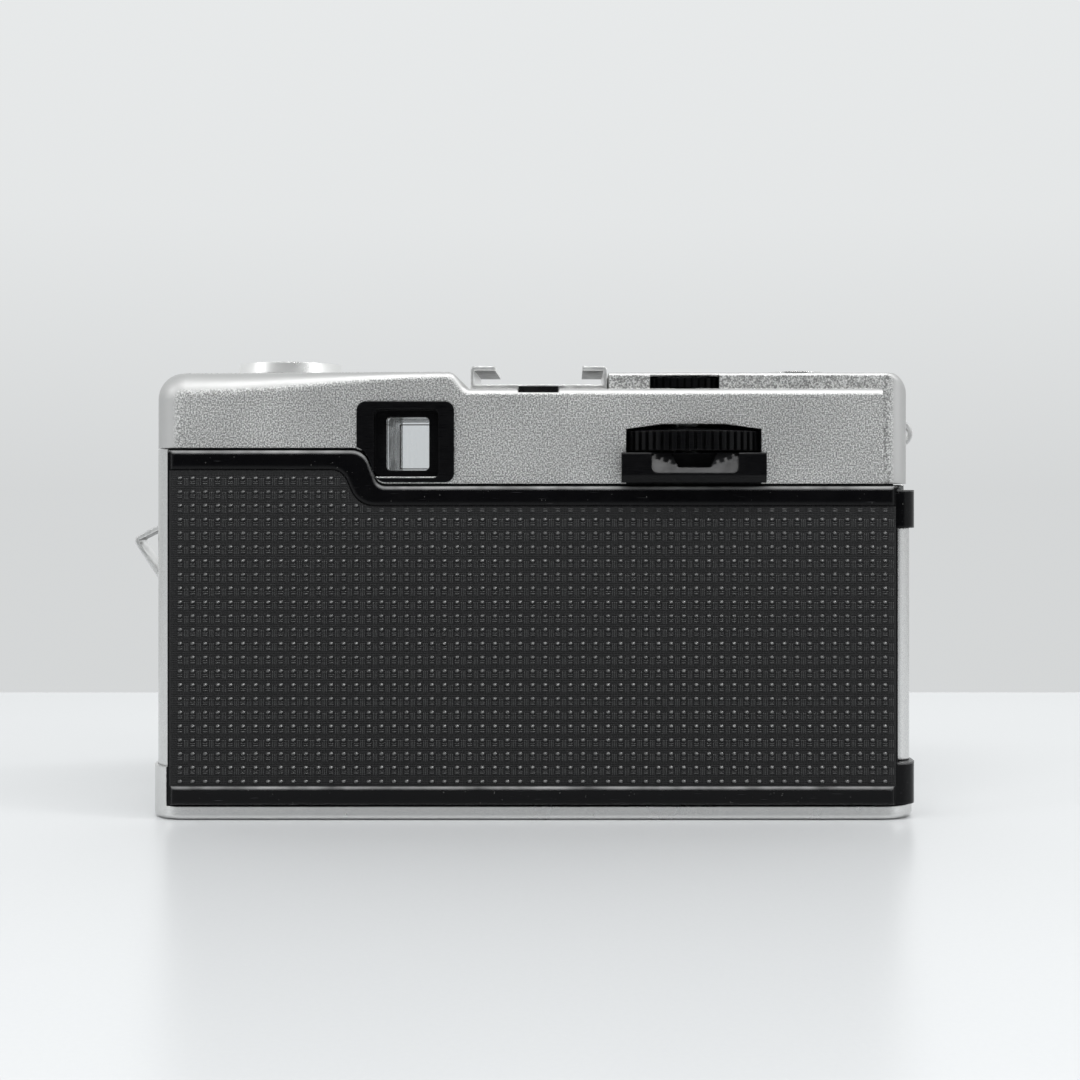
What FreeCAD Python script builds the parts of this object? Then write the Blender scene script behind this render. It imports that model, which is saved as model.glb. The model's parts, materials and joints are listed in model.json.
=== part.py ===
import FreeCAD, Part
import math
import os
import sys
from types import SimpleNamespace

import Sketcher
from FreeCAD import Placement, Rotation, Vector
from fcgear import fcgear, involute

# Half frame viewfinder camera for 35 mm film, millimetres.
# Frame: origin at the mouth of the tripod bush on the resting face, +X to the photographer's right,
# +Y out of the lens, +Z up. The hinged back is at -Y.

# ---------------------------------------------------------------- driving dimensions
DRIVING = [
    ("sheet_t", 0.8, "pressed sheet thickness"),
    ("body_half", 54.6, "half width of the silver shell"),
    ("body_back", -13.2, "rear of the shell's rounded ends"),
    ("body_front", 14.5, "front face of the shell"),
    ("end_front_radius", 7.0, "plan radius of the shell's front corners"),
    ("end_rear_radius", 4.8, "plan radius of the shell's rear corners"),
    ("rim_top", 1.9, "top of the bottom plate's rim"),
    ("end_rim_top", 7.4, "top of the bottom plate's raised ends"),
    ("rim_out", 0.3, "how far the bottom plate stands outside the shell"),
    ("seam_high", 52.9, "seam under the top cover, over the film cassette"),
    ("seam_low", 47.8, "seam under the top cover, elsewhere"),
    ("seam_top_x", -23.95, "upper corner of the seam's step"),
    ("seam_foot_x", -22.05, "lower corner of the seam's step"),
    ("cover_half", 54.25, "half width of the top cover"),
    ("cover_back", -14.3, "rear face of the top cover"),
    ("cover_front", 14.3, "front face of the top cover"),
    ("cover_t", 0.9, "top cover wall"),
    ("socket_y", 1.0, "flash socket axis, on the cover's left end"),
    ("socket_z", 57.7, "flash socket axis, on the cover's left end"),
    ("cover_screw_y", 6.0, "screws in the cover's ends"),
    ("right_screw_z", 53.5, "screw in the cover's right end"),
    ("low_deck", 61.5, "deck under the accessory shoe"),
    ("high_deck", 63.9, "raised decks at both ends"),
    ("panel_right", 49.9, "right end of the top cover's rear panel"),
    ("setback", 2.3, "raised right deck behind the rear panel"),
    ("deck_side", 10.9, "left side of the raised right deck"),
    ("door_half", 52.0, "half width of the back door"),
    ("door_low", 2.2, "lower edge of the back door"),
    ("door_back", -14.2, "outer face of the door's sheet"),
    ("border_out", 0.7, "height of the door's gloss borders"),
    ("door_inside", -13.4, "inner face of the door's sheet"),
    ("chassis_back", -12.4, "rear rim of the chassis"),
    ("chassis_front", 13.2, "front of the chassis"),
    ("chassis_half", 53.05, "half width of the chassis"),
    ("chamber_low", 3.9, "floor of the film chambers"),
    ("cassette_x", -36.65, "rewind axis"),
    ("cassette_y", -1.0, "rewind axis"),
    ("cassette_r", 12.85, "cassette chamber"),
    ("cassette_top", 51.0, "cassette chamber"),
    ("film_top", 45.9, "film path and take-up chamber"),
    ("advance_x", 22.95, "advance wheel and sprocket axis"),
    ("advance_y", -5.6, "advance wheel and sprocket axis"),
    ("spool_x", 39.42, "take-up spool axis"),
    ("spool_y", -2.3, "take-up spool axis"),
    ("spool_bay_r", 9.0, "take-up chamber"),
    ("gate_face", -10.6, "face of the film gate"),
    ("gate_wall", 2.6, "thickness of the wall round the picture gate"),
    ("gate_w", 18.0, "half frame picture width"),
    ("gate_tall", 24.0, "half frame picture height"),
    ("lens_z", 27.0, "optical axis above the resting face"),
    ("hinge_x", 52.0, "back door hinge axis"),
    ("hinge_y", -9.6, "back door hinge axis"),
    ("hinge_pin_r", 0.8, "hinge pin"),
    ("barrel_r", 2.5, "hinge barrel"),
    ("ear_low_z", 8.1, "top of the lower hinge ear"),
    ("ear_high_z", 41.6, "foot of the upper hinge ear"),
    ("wheel_r", 12.1, "advance wheel"),
    ("wheel_z", 52.6, "underside of the advance wheel"),
    ("wheel_band", 2.8, "height of the advance wheel's knurled band"),
    ("shoe_x", 0.8, "accessory shoe centre"),
    ("shoe_slot_half", 9.35, "half the 18.7 mm accessory shoe slot"),
    ("shoe_height", 2.0, "accessory shoe slot height"),
    ("finder_x", -17.87, "viewfinder axis"),
    ("finder_z", 53.6, "viewfinder axis"),
    ("dial_x", 21.8, "frame counter axis"),
    ("dial_y", -2.3, "frame counter axis"),
    ("dial_r", 9.5, "frame counter dial"),
    ("release_x", 39.5, "shutter release axis"),
    ("release_y", 2.5, "shutter release axis"),
    ("knob_r", 7.75, "rewind knob"),
    ("drive_teeth", 22, "teeth of the advance shaft's gear"),
    ("spool_teeth", 34, "teeth of the take-up spool's gear"),
    ("gear_module", 0.6, "module of both gears"),
    ("clearance", 0.05, "running clearance on a radius"),
    ("tripod_r", 2.6, "tripod thread's core radius"),
    ("filter_r", 21.5, "filter thread's core radius"),
]
RUN = 0.05
BIG = 100.0

doc = FreeCAD.newDocument("half_frame_camera")
NODES = {}


# ---------------------------------------------------------------- sizes and helpers
class Size:
    """A length together with the spreadsheet expression that gives it."""

    def __init__(self, value, text):
        self.value = float(value)
        self.text = text

    def _with(self, other, sign, value):
        return Size(value, f"({self.text} {sign} {as_size(other).text})")

    def __add__(self, other):
        return self._with(other, "+", self.value + as_size(other).value)

    def __sub__(self, other):
        return self._with(other, "-", self.value - as_size(other).value)

    def __mul__(self, other):
        return self._with(other, "*", self.value * as_size(other).value)

    def __truediv__(self, other):
        return self._with(other, "/", self.value / as_size(other).value)

    def __radd__(self, other):
        return as_size(other) + self

    def __rsub__(self, other):
        return as_size(other) - self

    def __neg__(self):
        return as_size(0) - self


def as_size(x):
    return x if isinstance(x, Size) else Size(x, f"({float(x):.9g})")


def make_sheet():
    """Fills the spreadsheet of driving dimensions and returns its cells as sizes."""
    sheet = doc.addObject("Spreadsheet::Sheet", "dims")
    cells = {}
    for row, (alias, value, note) in enumerate(DRIVING, start=1):
        sheet.set(f"A{row}", alias)
        sheet.set(f"B{row}", str(value))
        sheet.set(f"C{row}", note)
        sheet.setAlias(f"B{row}", alias)
        cells[alias] = Size(value, f"dims.{alias}")
    doc.recompute()
    return SimpleNamespace(**cells)


dim = make_sheet()


def bind(obj, **properties):
    """Binds properties to sizes; a double underscore in a name stands for a full stop."""
    for name, size in properties.items():
        obj.setExpression(name.replace("__", "."), as_size(size).text)


def node(label, obj):
    """Names the finished object of one sub-part."""
    obj.Label = label
    NODES[label] = obj
    return obj


def place(obj, at, turn=None):
    if turn is not None:
        obj.Placement = Placement(Vector(), turn)
    bind(obj, Placement__Base__x=at[0], Placement__Base__y=at[1], Placement__Base__z=at[2])
    return obj


TURNS = {
    "z": Rotation(),
    "y": Rotation(Vector(1, 0, 0), -90),
    "x": Rotation(Vector(0, 1, 0), 90),
}


def cylinder(name, radius, length, at, along="z"):
    """A cylinder that starts at a point and runs in the + direction of an axis."""
    made = doc.addObject("Part::Cylinder", name)
    bind(made, Radius=radius, Height=length)
    return place(made, at, TURNS[along])


def cone(name, radius_1, radius_2, length, at, along="z"):
    made = doc.addObject("Part::Cone", name)
    bind(made, Radius1=radius_1, Radius2=radius_2, Height=length)
    return place(made, at, TURNS[along])


def box(name, low, high):
    """A box between two corners."""
    made = doc.addObject("Part::Box", name)
    long, wide, tall = (high[i] - as_size(low[i]) for i in range(3))
    bind(made, Length=long, Width=wide, Height=tall)
    return place(made, low)


def fuse(name, *shapes):
    made = doc.addObject("Part::MultiFuse", name)
    made.Shapes = list(shapes)
    return made


def cut(name, base, *tools):
    made = doc.addObject("Part::Cut", name)
    made.Base = base
    made.Tool = tools[0] if len(tools) == 1 else fuse(name + "_tools", *tools)
    return made


def common(name, base, tool):
    made = doc.addObject("Part::Common", name)
    made.Base = base
    made.Tool = tool
    return made


def ring(name, outer, inner, length, at, along="z"):
    """A plain tube."""
    wall = cylinder(name + "_out", outer, length, at, along)
    bore = cylinder(name + "_bore", inner, length, at, along)
    return cut(name, wall, bore)


def new_body(label):
    return doc.addObject("PartDesign::Body", label)


def origin_plane(body, role):
    return next(f for f in body.Origin.OriginFeatures if f.Role == role)


def add_outline(sketch, corners):
    """Draws a closed outline through corners (x, y, radius) and constrains it to their sizes."""
    count = len(corners)
    xs = [as_size(c[0]) for c in corners]
    ys = [as_size(c[1]) for c in corners]
    rs = [as_size(c[2]) for c in corners]
    points = [Vector(xs[i].value, ys[i].value, 0) for i in range(count)]
    enter, leave, arcs = [], [], []
    for i in range(count):
        before = (points[i] - points[i - 1]).normalize()
        after = (points[(i + 1) % count] - points[i]).normalize()
        turn = before.getAngle(after)
        reach = rs[i].value * math.tan(turn / 2)
        enter.append(points[i] - before * reach)
        leave.append(points[i] + after * reach)
        if rs[i].value <= 0:
            arcs.append(None)
            continue
        left = before.x * after.y - before.y * after.x > 0
        side = Vector(-before.y, before.x, 0) if left else Vector(before.y, -before.x, 0)
        centre = enter[i] + side * rs[i].value
        first, last = (enter[i], leave[i]) if left else (leave[i], enter[i])
        angles = [math.atan2(p.y - centre.y, p.x - centre.x) for p in (first, last)]
        circle = Part.Circle(centre, Vector(0, 0, 1), rs[i].value)
        arcs.append((Part.ArcOfCircle(circle, angles[0], angles[1]), 1 if left else 2))
    lines = [sketch.addGeometry(Part.LineSegment(leave[i], enter[(i + 1) % count])) for i in range(count)]
    for i in range(count):
        before, after = lines[i - 1], lines[i]
        if arcs[i] is None:
            sketch.addConstraint(Sketcher.Constraint("Coincident", before, 2, after, 1))
            corner, end = after, 1
        else:
            arc, start = arcs[i]
            arc_id = sketch.addGeometry(arc)
            corner, end = sketch.addGeometry(Part.Point(points[i]), True), 1
            sketch.addConstraint(Sketcher.Constraint("Tangent", before, 2, arc_id, start))
            sketch.addConstraint(Sketcher.Constraint("Tangent", after, 1, arc_id, 3 - start))
            sketch.addConstraint(Sketcher.Constraint("PointOnObject", corner, 1, before))
            sketch.addConstraint(Sketcher.Constraint("PointOnObject", corner, 1, after))
            radius = sketch.addConstraint(Sketcher.Constraint("Radius", arc_id, rs[i].value))
            sketch.setExpression(f"Constraints[{radius}]", rs[i].text)
        for kind, size in (("DistanceX", xs[i]), ("DistanceY", ys[i])):
            index = sketch.addConstraint(Sketcher.Constraint(kind, -1, 1, corner, end, size.value))
            sketch.setExpression(f"Constraints[{index}]", size.text)


def add_circle(sketch, x, y, radius):
    x, y, radius = as_size(x), as_size(y), as_size(radius)
    circle = sketch.addGeometry(Part.Circle(Vector(x.value, y.value, 0), Vector(0, 0, 1), radius.value))
    for constraint, size in (
        (Sketcher.Constraint("Radius", circle, radius.value), radius),
        (Sketcher.Constraint("DistanceX", -1, 1, circle, 3, x.value), x),
        (Sketcher.Constraint("DistanceY", -1, 1, circle, 3, y.value), y),
    ):
        index = sketch.addConstraint(constraint)
        sketch.setExpression(f"Constraints[{index}]", size.text)


def draw(sketch, loops):
    """Loops are outlines, or circles given as (x, y, radius)."""
    for loop in loops:
        if isinstance(loop, tuple):
            add_circle(sketch, *loop)
        else:
            add_outline(sketch, loop)


# Plane: role, sketch axes, and whether the sketch's normal runs against the third axis.
PLANES = {"XY": ("XY_Plane", 1), "XZ": ("XZ_Plane", -1), "YZ": ("YZ_Plane", 1)}


def extruded(body, kind, name, plane, loops, low, high):
    """Pads or pockets loops drawn on a plane, from low to high along the plane's axis."""
    role, sense = PLANES[plane]
    low, high = as_size(low), as_size(high)
    sketch = body.newObject("Sketcher::SketchObject", name + "_sketch")
    sketch.AttachmentSupport = [(origin_plane(body, role), "")]
    sketch.MapMode = "FlatFace"
    start = (low if sense > 0 else high) if kind == "Pad" else (high if sense > 0 else low)
    offset = start if sense > 0 else -start
    sketch.AttachmentOffset = Placement(Vector(0, 0, offset.value), Rotation())
    bind(sketch, AttachmentOffset__Base__z=offset)
    draw(sketch, loops)
    feature = body.newObject("PartDesign::" + kind, name)
    feature.Profile = sketch
    bind(feature, Length=high - low)
    return feature


def pad(body, name, plane, loops, low, high):
    return extruded(body, "Pad", name, plane, loops, low, high)


def pocket(body, name, plane, loops, low, high):
    return extruded(body, "Pocket", name, plane, loops, low, high)


def prism(label, plane, loops, low, high):
    body = new_body(label)
    pad(body, label + "_pad", plane, loops, low, high)
    return body


def rounded(body, name, radius, picks):
    """Fillets the edges of a body's last feature whose middle point passes the test."""
    doc.recompute()
    base = body.Tip
    edges = [
        f"Edge{i}"
        for i, edge in enumerate(base.Shape.Edges, start=1)
        if picks(edge, edge.valueAt((edge.FirstParameter + edge.LastParameter) / 2))
    ]
    if not edges:
        sys.exit(f"{name}: no edge passes the test")
    feature = body.newObject("PartDesign::Fillet", name)
    feature.Base = (base, edges)
    bind(feature, Radius=radius)
    doc.recompute()
    if "Invalid" in feature.State or "Error" in feature.State:
        sys.exit(f"{name}: the edges can't be rounded")
    return feature


def polar(body, feature, name, count):
    """Repeats a feature round the body's own Z axis."""
    doc.recompute()
    pattern = body.newObject("PartDesign::PolarPattern", name)
    pattern.Originals = [feature]
    pattern.Axis = (next(f for f in body.Origin.OriginFeatures if f.Role == "Z_Axis"), [""])
    pattern.Angle = 360
    pattern.Occurrences = count
    body.Tip = pattern
    return pattern


def rectangle(x_low, x_high, y_low, y_high, radius=0):
    return [
        (x_low, y_low, radius),
        (x_high, y_low, radius),
        (x_high, y_high, radius),
        (x_low, y_high, radius),
    ]


def stepped(left, right, low, lift, shift=0.0, radii=(2.6, 1.6)):
    """The outline below the seam: taller over the cassette, stepping down beside the viewfinder."""
    high_z, low_z = dim.seam_high + lift, dim.seam_low + lift
    return [
        (left, low, 0),
        (right, low, 0),
        (right, low_z, 0),
        (dim.seam_foot_x + shift, low_z, radii[1]),
        (dim.seam_top_x + shift, high_z, radii[0]),
        (left, high_z, 0),
    ]


def plan(half, back, front, rear_r, front_r):
    """The rounded plan outline of the shell, the bottom plate and the top cover."""
    return [(-half, back, rear_r), (half, back, rear_r), (half, front, front_r), (-half, front, front_r)]


# ---------------------------------------------------------------- casings
PLATE_SCREWS = [(-51.0, -3.5), (-49.8, 6.5), (49.8, 6.5), (46.5, -6.5)]
SHOE_SCREWS = [(-5.0, -5.5), (5.0, -5.5), (-5.0, 5.5), (5.0, 5.5)]


def build_chassis():
    """Die-cast body with the cassette chamber, film gate, sprocket bay and take-up chamber."""
    body = new_body("main_chassis_body")
    outline = stepped(-dim.chassis_half, dim.chassis_half, 0.8, 0.8, shift=-0.75, radii=(2.6, 0.8))
    pad(body, "casting", "XZ", [outline], dim.chassis_back, dim.chassis_front)
    ends_r = dim.end_front_radius - dim.sheet_t
    cx, cy, cr = dim.cassette_x, dim.cassette_y, dim.cassette_r
    sx, sy, sr = dim.spool_x, dim.spool_y, dim.spool_bay_r
    ax, ay = dim.advance_x, dim.advance_y
    back = dim.chassis_back - 2
    pocket(body, "cassette_chamber", "XY", [(cx, cy, cr)], dim.chamber_low, dim.cassette_top)
    cassette_mouth = rectangle(cx - cr, cx + cr, back, cy)
    pocket(body, "cassette_mouth", "XY", [cassette_mouth], dim.chamber_low, dim.cassette_top)
    pocket(body, "spool_chamber", "XY", [(sx, sy, sr)], dim.chamber_low, dim.film_top)
    bay_r = 7.6
    pocket(body, "sprocket_bay", "XY", [(ax, ay, bay_r)], dim.chamber_low, dim.film_top)
    film_mouth = rectangle(ax - bay_r, sx + sr - 0.7, back, ay)
    pocket(body, "film_mouth", "XY", [film_mouth], dim.chamber_low, dim.film_top)
    gate_low, gate_high = dim.lens_z - dim.gate_tall / 2, dim.lens_z + dim.gate_tall / 2
    recess = rectangle(cx + cr - 0.5, ax - bay_r + 0.1, 6.5, dim.film_top)
    pocket(body, "gate_recess", "XZ", [recess], back, dim.gate_face)
    gate = rectangle(-dim.gate_w / 2, dim.gate_w / 2, gate_low, gate_high, 0.6)
    pocket(body, "picture_gate", "XZ", [gate], back, dim.gate_face + dim.gate_wall + 0.1)
    tunnel = rectangle(-dim.gate_w / 2 - 2, dim.gate_w / 2 + 2, gate_low - 2, gate_high + 2, 1.5)
    pocket(body, "light_tunnel", "XZ", [tunnel], dim.gate_face + dim.gate_wall, 7.5)
    pocket(body, "lens_hole", "XZ", [(0, dim.lens_z, 11.2)], 7.0, dim.chassis_front + 1)
    # The casting's front corners follow the shell, and its right rear corner leaves the hinge free.
    half, front = dim.chassis_half, dim.chassis_front
    for side, name in ((1, "right"), (-1, "left")):
        end, inboard = half * side, (half - ends_r) * side
        corner = [
            (end, front - ends_r, 0),
            (end, front + 1, 0),
            (inboard, front + 1, 0),
            (inboard, front, 0),
        ]
        pocket(body, f"{name}_front_corner", "XY", [corner], 0, dim.seam_high + 5)
    pocket(body, "hinge_clearance", "XY", [rectangle(49.0, half + 2, back, -5.4)], 0, dim.seam_high + 5)
    rear_corner = [
        (-half - 1, back, 0),
        (-50.4, back, 0),
        (-50.4, -12.4, 0),
        (-half - 1, -8.6, 0),
    ]
    pocket(body, "left_rear_corner", "XY", [rear_corner], 0, dim.seam_high + 5)
    pocket(body, "latch_pocket", "XY", [rectangle(-half - 1, -51.9, -3.3, 3.3)], 24.0, 46.5)
    pocket(body, "catch_pocket", "XY", [rectangle(-half - 1, -50.3, back, -10.7)], 33.0, 41.0)
    pocket(body, "bush_seat", "XY", [(0, 0, 6.05)], 0, 7.0)
    pocket(body, "advance_shaft_hole", "XY", [(ax, ay, 2.0 + RUN)], 0, dim.seam_high + 5)
    pocket(body, "release_button_hole", "XY", [(ax, ay, 2.7)], 0, 3.0)
    pocket(body, "spool_shaft_hole", "XY", [(sx, sy, 1.5 + RUN)], 1.8, dim.seam_high + 5)
    pocket(body, "rewind_shaft_hole", "XY", [(cx, cy, 2.2 + RUN)], dim.chamber_low, dim.seam_high + 5)
    pocket(body, "plate_screw_holes", "XY", [(x, y, 1.0) for x, y in PLATE_SCREWS], 0, 3.4)
    rails = [
        box(f"rail_{i}", (-20.0, dim.gate_face - out, z), (14.6, dim.gate_face, z + 1.2))
        for i, (z, out) in enumerate(((9.3, 0.4), (43.5, 0.4), (7.2, 0.6), (44.7, 0.6)))
    ]
    node("main_chassis", fuse("main_chassis_cast", body, *rails))


def build_shell():
    """Pressed silver shell: the front face and both rounded ends, open at the back."""
    t = dim.sheet_t
    half, back, front = dim.body_half, dim.body_back, dim.body_front
    body = new_body("front_shell_body")
    outer = plan(half, back, front, dim.end_rear_radius, dim.end_front_radius)
    inner = plan(half - t, back + t, front - t, dim.end_rear_radius - t, dim.end_front_radius - t)
    pad(body, "wall", "XY", [outer, inner], 0.85, dim.seam_high + 1)
    pocket(body, "door_opening", "XY", [rectangle(-52.3, 60, back - 2, back + 4)], 0, BIG)
    pocket(body, "hinge_opening", "XY", [rectangle(48, 60, back - 2, -5.4)], 0, BIG)
    pocket(body, "lens_opening", "XZ", [(0, dim.lens_z, 20.5)], 10, 16)
    pocket(body, "latch_slot", "YZ", [rectangle(-2.75, 2.75, 27.6, 43.4, 0.4)], -60, -53)
    trim = prism("shell_trim", "XZ", [stepped(-BIG, BIG, -1, -0.05)], -30, 30)
    node("front_shell", common("front_shell_trimmed", body, trim))
    leather = stepped(-47.4, 47.4, 3.2, -1.2, radii=(2.4, 1.6))
    sheet = prism("leather_sheet", "XZ", [leather], front, front + 0.6)
    around_lens = cylinder("leather_lens_hole", 25.3, 4, (0, front - 2, dim.lens_z), "y")
    node("front_leatherette", cut("front_leatherette_cut", sheet, around_lens))


def build_bottom():
    """Bottom plate: a shallow pan whose ends rise outside the shell."""
    out, half = dim.rim_out, dim.body_half
    back, front, t = dim.cover_back, dim.body_front, dim.sheet_t
    body = new_body("bottom_plate_body")
    outer = plan(half + out, back + 0.1, front + out, dim.end_rear_radius + out, dim.end_front_radius + out)
    inner = plan(half + 0.02, back + 1.0, front + 0.02, dim.end_rear_radius, dim.end_front_radius)
    pad(body, "pan", "XY", [outer], 0, dim.end_rim_top)
    pocket(body, "pan_inside", "XY", [inner], t, BIG)
    pocket(body, "low_rim", "XY", [rectangle(-52.3, 49.2, -20, 20)], dim.rim_top, BIG)
    pocket(body, "rim_at_hinge", "XY", [rectangle(48, 60, -20, -5.4)], dim.rim_top, BIG)
    pocket(body, "rim_front", "XY", [rectangle(-60, 60, 6.5, 20)], dim.rim_top, BIG)
    rounded(body, "lower_edge", 0.7, lambda e, p: p.z < 1e-6 and e.BoundBox.ZMax < 1e-6)
    pocket(body, "bush_hole", "XY", [(0, 0, 5.05)], -1, 2)
    pocket(body, "rewind_release_hole", "XY", [(dim.advance_x, dim.advance_y, 2.2 + RUN)], -1, 2)
    holes = PLATE_SCREWS
    pocket(body, "screw_holes", "XY", [(x, y, 1.05) for x, y in holes], -1, 2)
    pocket(body, "screw_sinks", "XY", [(x, y, 1.75) for x, y in holes], -1, 0.45)
    node("bottom_plate", body)
    screws = []
    for i, (x, y) in enumerate(holes):
        head = cylinder(f"plate_screw_head_{i}", 1.7, 0.35, (x, y, 0.1))
        shank = cylinder(f"plate_screw_shank_{i}", 0.95, 2.6, (x, y, 0.4))
        slot = box(f"plate_screw_slot_{i}", (x - 2, y - 0.2, -1), (x + 2, y + 0.2, 0.25))
        screws.append(cut(f"plate_screw_{i}", fuse(f"plate_screw_solid_{i}", head, shank), slot))
    node("bottom_plate_screws", fuse("plate_screw_set", *screws))
    mouth = cylinder("bush_mouth", 5.0, 1.0, (0, 0, 0))
    flange = cylinder("bush_flange", 6.0, 6.0, (0, 0, 0.85))
    thread = cylinder("bush_thread", dim.tripod_r, 5.5, (0, 0, 0))
    node("tripod_bush", cut("tripod_bush_cut", fuse("bush_solid", mouth, flange), thread))


def soften(name, base, radius_at, picks):
    """Rounds the picked edges of an object, with a radius that may change from end to end."""
    doc.recompute()
    edges = []
    for i, edge in enumerate(base.Shape.Edges, start=1):
        if picks(edge.BoundBox):
            ends = [radius_at(v.Point) for v in (edge.Vertexes[0], edge.Vertexes[-1])]
            edges.append((i, ends[0], ends[1]))
    made = doc.addObject("Part::Fillet", name)
    made.Base = base
    made.Edges = edges
    doc.recompute()
    if made.Shape.isNull() or not made.Shape.isValid():
        sys.exit(f"{name}: the edges can't be rounded")
    return made


def cover_form(name, inset):
    """The top cover's outside, or with an inset the space inside it.

    Three blocks: the left block with its step down to the shoe's deck, the rear panel under the
    right deck, and the right deck itself, which stands a little forward of the panel.
    """
    half, back, front = dim.cover_half - inset, dim.cover_back + inset, dim.cover_front - inset
    high, low = dim.high_deck - inset, dim.low_deck - inset
    step, side = back + dim.setback, dim.deck_side + inset
    shrink = inset.value

    def radii(rear, end):
        def radius_at(point):
            if abs(point.x) > half.value - 0.01:
                return end - shrink
            return 2.4 - shrink if point.y > 0 else rear - shrink * 0.4

        return radius_at

    def outer_top(bound):
        along_y_inside = bound.XLength < 0.01 and abs(bound.XMin) < half.value - 1
        return bound.ZMin > high.value - 0.01 and not along_y_inside

    def on_rear(bound):
        return bound.YMax < back.value + 0.01 and bound.ZMin > low.value - 0.01

    left = new_body(name + "_left")
    outline = [(-half, back, 4.6 - inset), (side, back, 0), (side, front, 0), (-half, front, 7.0 - inset)]
    pad(left, name + "_left_block", "XY", [outline], 40, high)
    dip = [
        (-20.0, high, 0),
        (-11.4 - inset / 2, high, 1.8),
        (-9.5 - inset / 2, low, 1.0),
        (side + 5, low, 0),
        (side + 5, BIG, 0),
        (-20.0, BIG, 0),
    ]
    pocket(left, name + "_dip", "XZ", [dip], -20, 20)
    panel = box(name + "_panel", (side, back, 40), (dim.panel_right - inset, back + 8, low))
    deck = new_body(name + "_deck")
    outline = [(side, step, 0), (half, step, 3.6 - inset), (half, front, 7.0 - inset), (side, front, 0)]
    pad(deck, name + "_deck_block", "XY", [outline], 40, high)
    return fuse(
        name,
        soften(name + "_left_edges", left, radii(1.1, 3.8), lambda b: outer_top(b) or on_rear(b)),
        soften(name + "_panel_edge", panel, radii(1.1, 1.1), on_rear),
        soften(name + "_deck_edges", deck, radii(0.5, 3.0), outer_top),
    )


def build_cover():
    """Top cover: stepped decks, openings for the finder, wheel, counter, knob and release."""
    t = dim.cover_t
    outside = cover_form("cover_outside", as_size(0))
    high, low = dim.high_deck, dim.low_deck
    inside = cover_form("cover_inside", t)
    under = prism("cover_under", "XZ", [stepped(-BIG, BIG, 0, 0.1)], -30, 30)
    fx, fz = dim.finder_x, dim.finder_z
    eyepiece = prism("eyepiece_hole", "XZ", [rectangle(fx - 6.5, fx + 6.0, 48.9, 59.1, 1.2)], -16, -12)
    slot_outline = [
        (13.3, 47.0, 0),
        (32.6, 47.0, 0),
        (32.6, 55.7, 0),
        (27.4, 56.4, 0),
        (18.5, 56.4, 0),
        (13.3, 55.7, 0),
    ]
    slot = prism("wheel_slot", "XZ", [slot_outline], -16, -12)
    dial_x = dim.dial_x
    counter = box("counter_slot", (dial_x - 5.0, -16, low + 0.1), (dial_x + 5.0, -10.5, high - 0.4))
    dial_r = dim.dial_r
    relief = ring("dial_relief", dial_r + 0.3, dial_r - 1.6, 3.4, (dial_x, dim.dial_y, 60))
    knob = cylinder("knob_hole", 3.0, 5, (dim.cassette_x, dim.cassette_y, 60))
    release = cylinder("release_hole", 5.6, 5, (dim.release_x, dim.release_y, 60))
    window = cylinder("counter_window_hole", 3.4, 5, (dial_x, -0.3, 60))
    front = prism("finder_window_hole", "XZ", [rectangle(fx - 4.7, -3.4, 49.6, 58.6, 0.8)], 12, 16)
    end = dim.cover_half
    socket = cylinder("socket_hole", 2.85, 5, (-end - 2, dim.socket_y, dim.socket_z), "x")
    shoe_x = dim.shoe_x
    contact = cylinder("contact_hole", 1.7, 5, (shoe_x, 1.5, 58.5))
    tab = fuse(
        "insulator_notch",
        box("insulator_notch_rear", (shoe_x - 2.9, -15, low - 0.6), (shoe_x + 2.9, -13.2, 63)),
        box("insulator_notch_deck", (shoe_x - 2.9, -13.3, 60.0), (shoe_x + 2.9, -9.9, 63)),
    )
    screw_holes = []
    for i, (x, y) in enumerate(SHOE_SCREWS):
        screw_holes.append(cylinder(f"shoe_screw_hole_{i}", 0.75, 4, (shoe_x + x, y, 59)))
    screw_y = dim.cover_screw_y
    for i, (x, z) in enumerate(((-end - 1.6, dim.socket_z), (end - 2.4, dim.right_screw_z))):
        screw_holes.append(cylinder(f"cover_screw_hole_{i}", 0.85, 4, (x, screw_y, z), "x"))
    eye = box("eyelet_hole", (end - 2, -0.6, 53.4), (end + 2, 0.6, 57.6))
    rear_holes = [eyepiece, slot, counter, relief, tab]
    deck_holes = [knob, release, window, contact]
    end_holes = [front, socket, eye]
    holes = rear_holes + deck_holes + end_holes + screw_holes
    node("top_cover", cut("top_cover_cut", outside, inside, under, *holes))
    screws = [cover_screw(i, side) for i, side in enumerate((-1, 1))]
    node("top_cover_screws", fuse("cover_screw_set", *screws))


def cover_screw(i, side):
    """A small slotted screw in the cover's end, its head on the outside."""
    y = dim.cover_screw_y
    x, z = (-dim.cover_half - 0.5, dim.socket_z) if side < 0 else (dim.cover_half, dim.right_screw_z)
    head = cylinder(f"cover_screw_head_{i}", 1.5, 0.5, (x, y, z), "x")
    shank = cylinder(f"cover_screw_shank_{i}", 0.8, 2.0, (x + 0.4 if side < 0 else x - 1.9, y, z), "x")
    slot_low = x - 0.6 if side < 0 else x + 0.25
    slot = box(f"cover_screw_slot_{i}", (slot_low, y - 2, z - 0.18), (slot_low + 0.85, y + 2, z + 0.18))
    return cut(f"cover_screw_{i}", fuse(f"cover_screw_solid_{i}", head, shank), slot)


# ---------------------------------------------------------------- back door
def door_outline(inset=0.0):
    half = dim.door_half - inset
    return stepped(-half, half, dim.door_low + inset, -0.25 - as_size(inset), radii=(2.6, 1.6))


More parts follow.
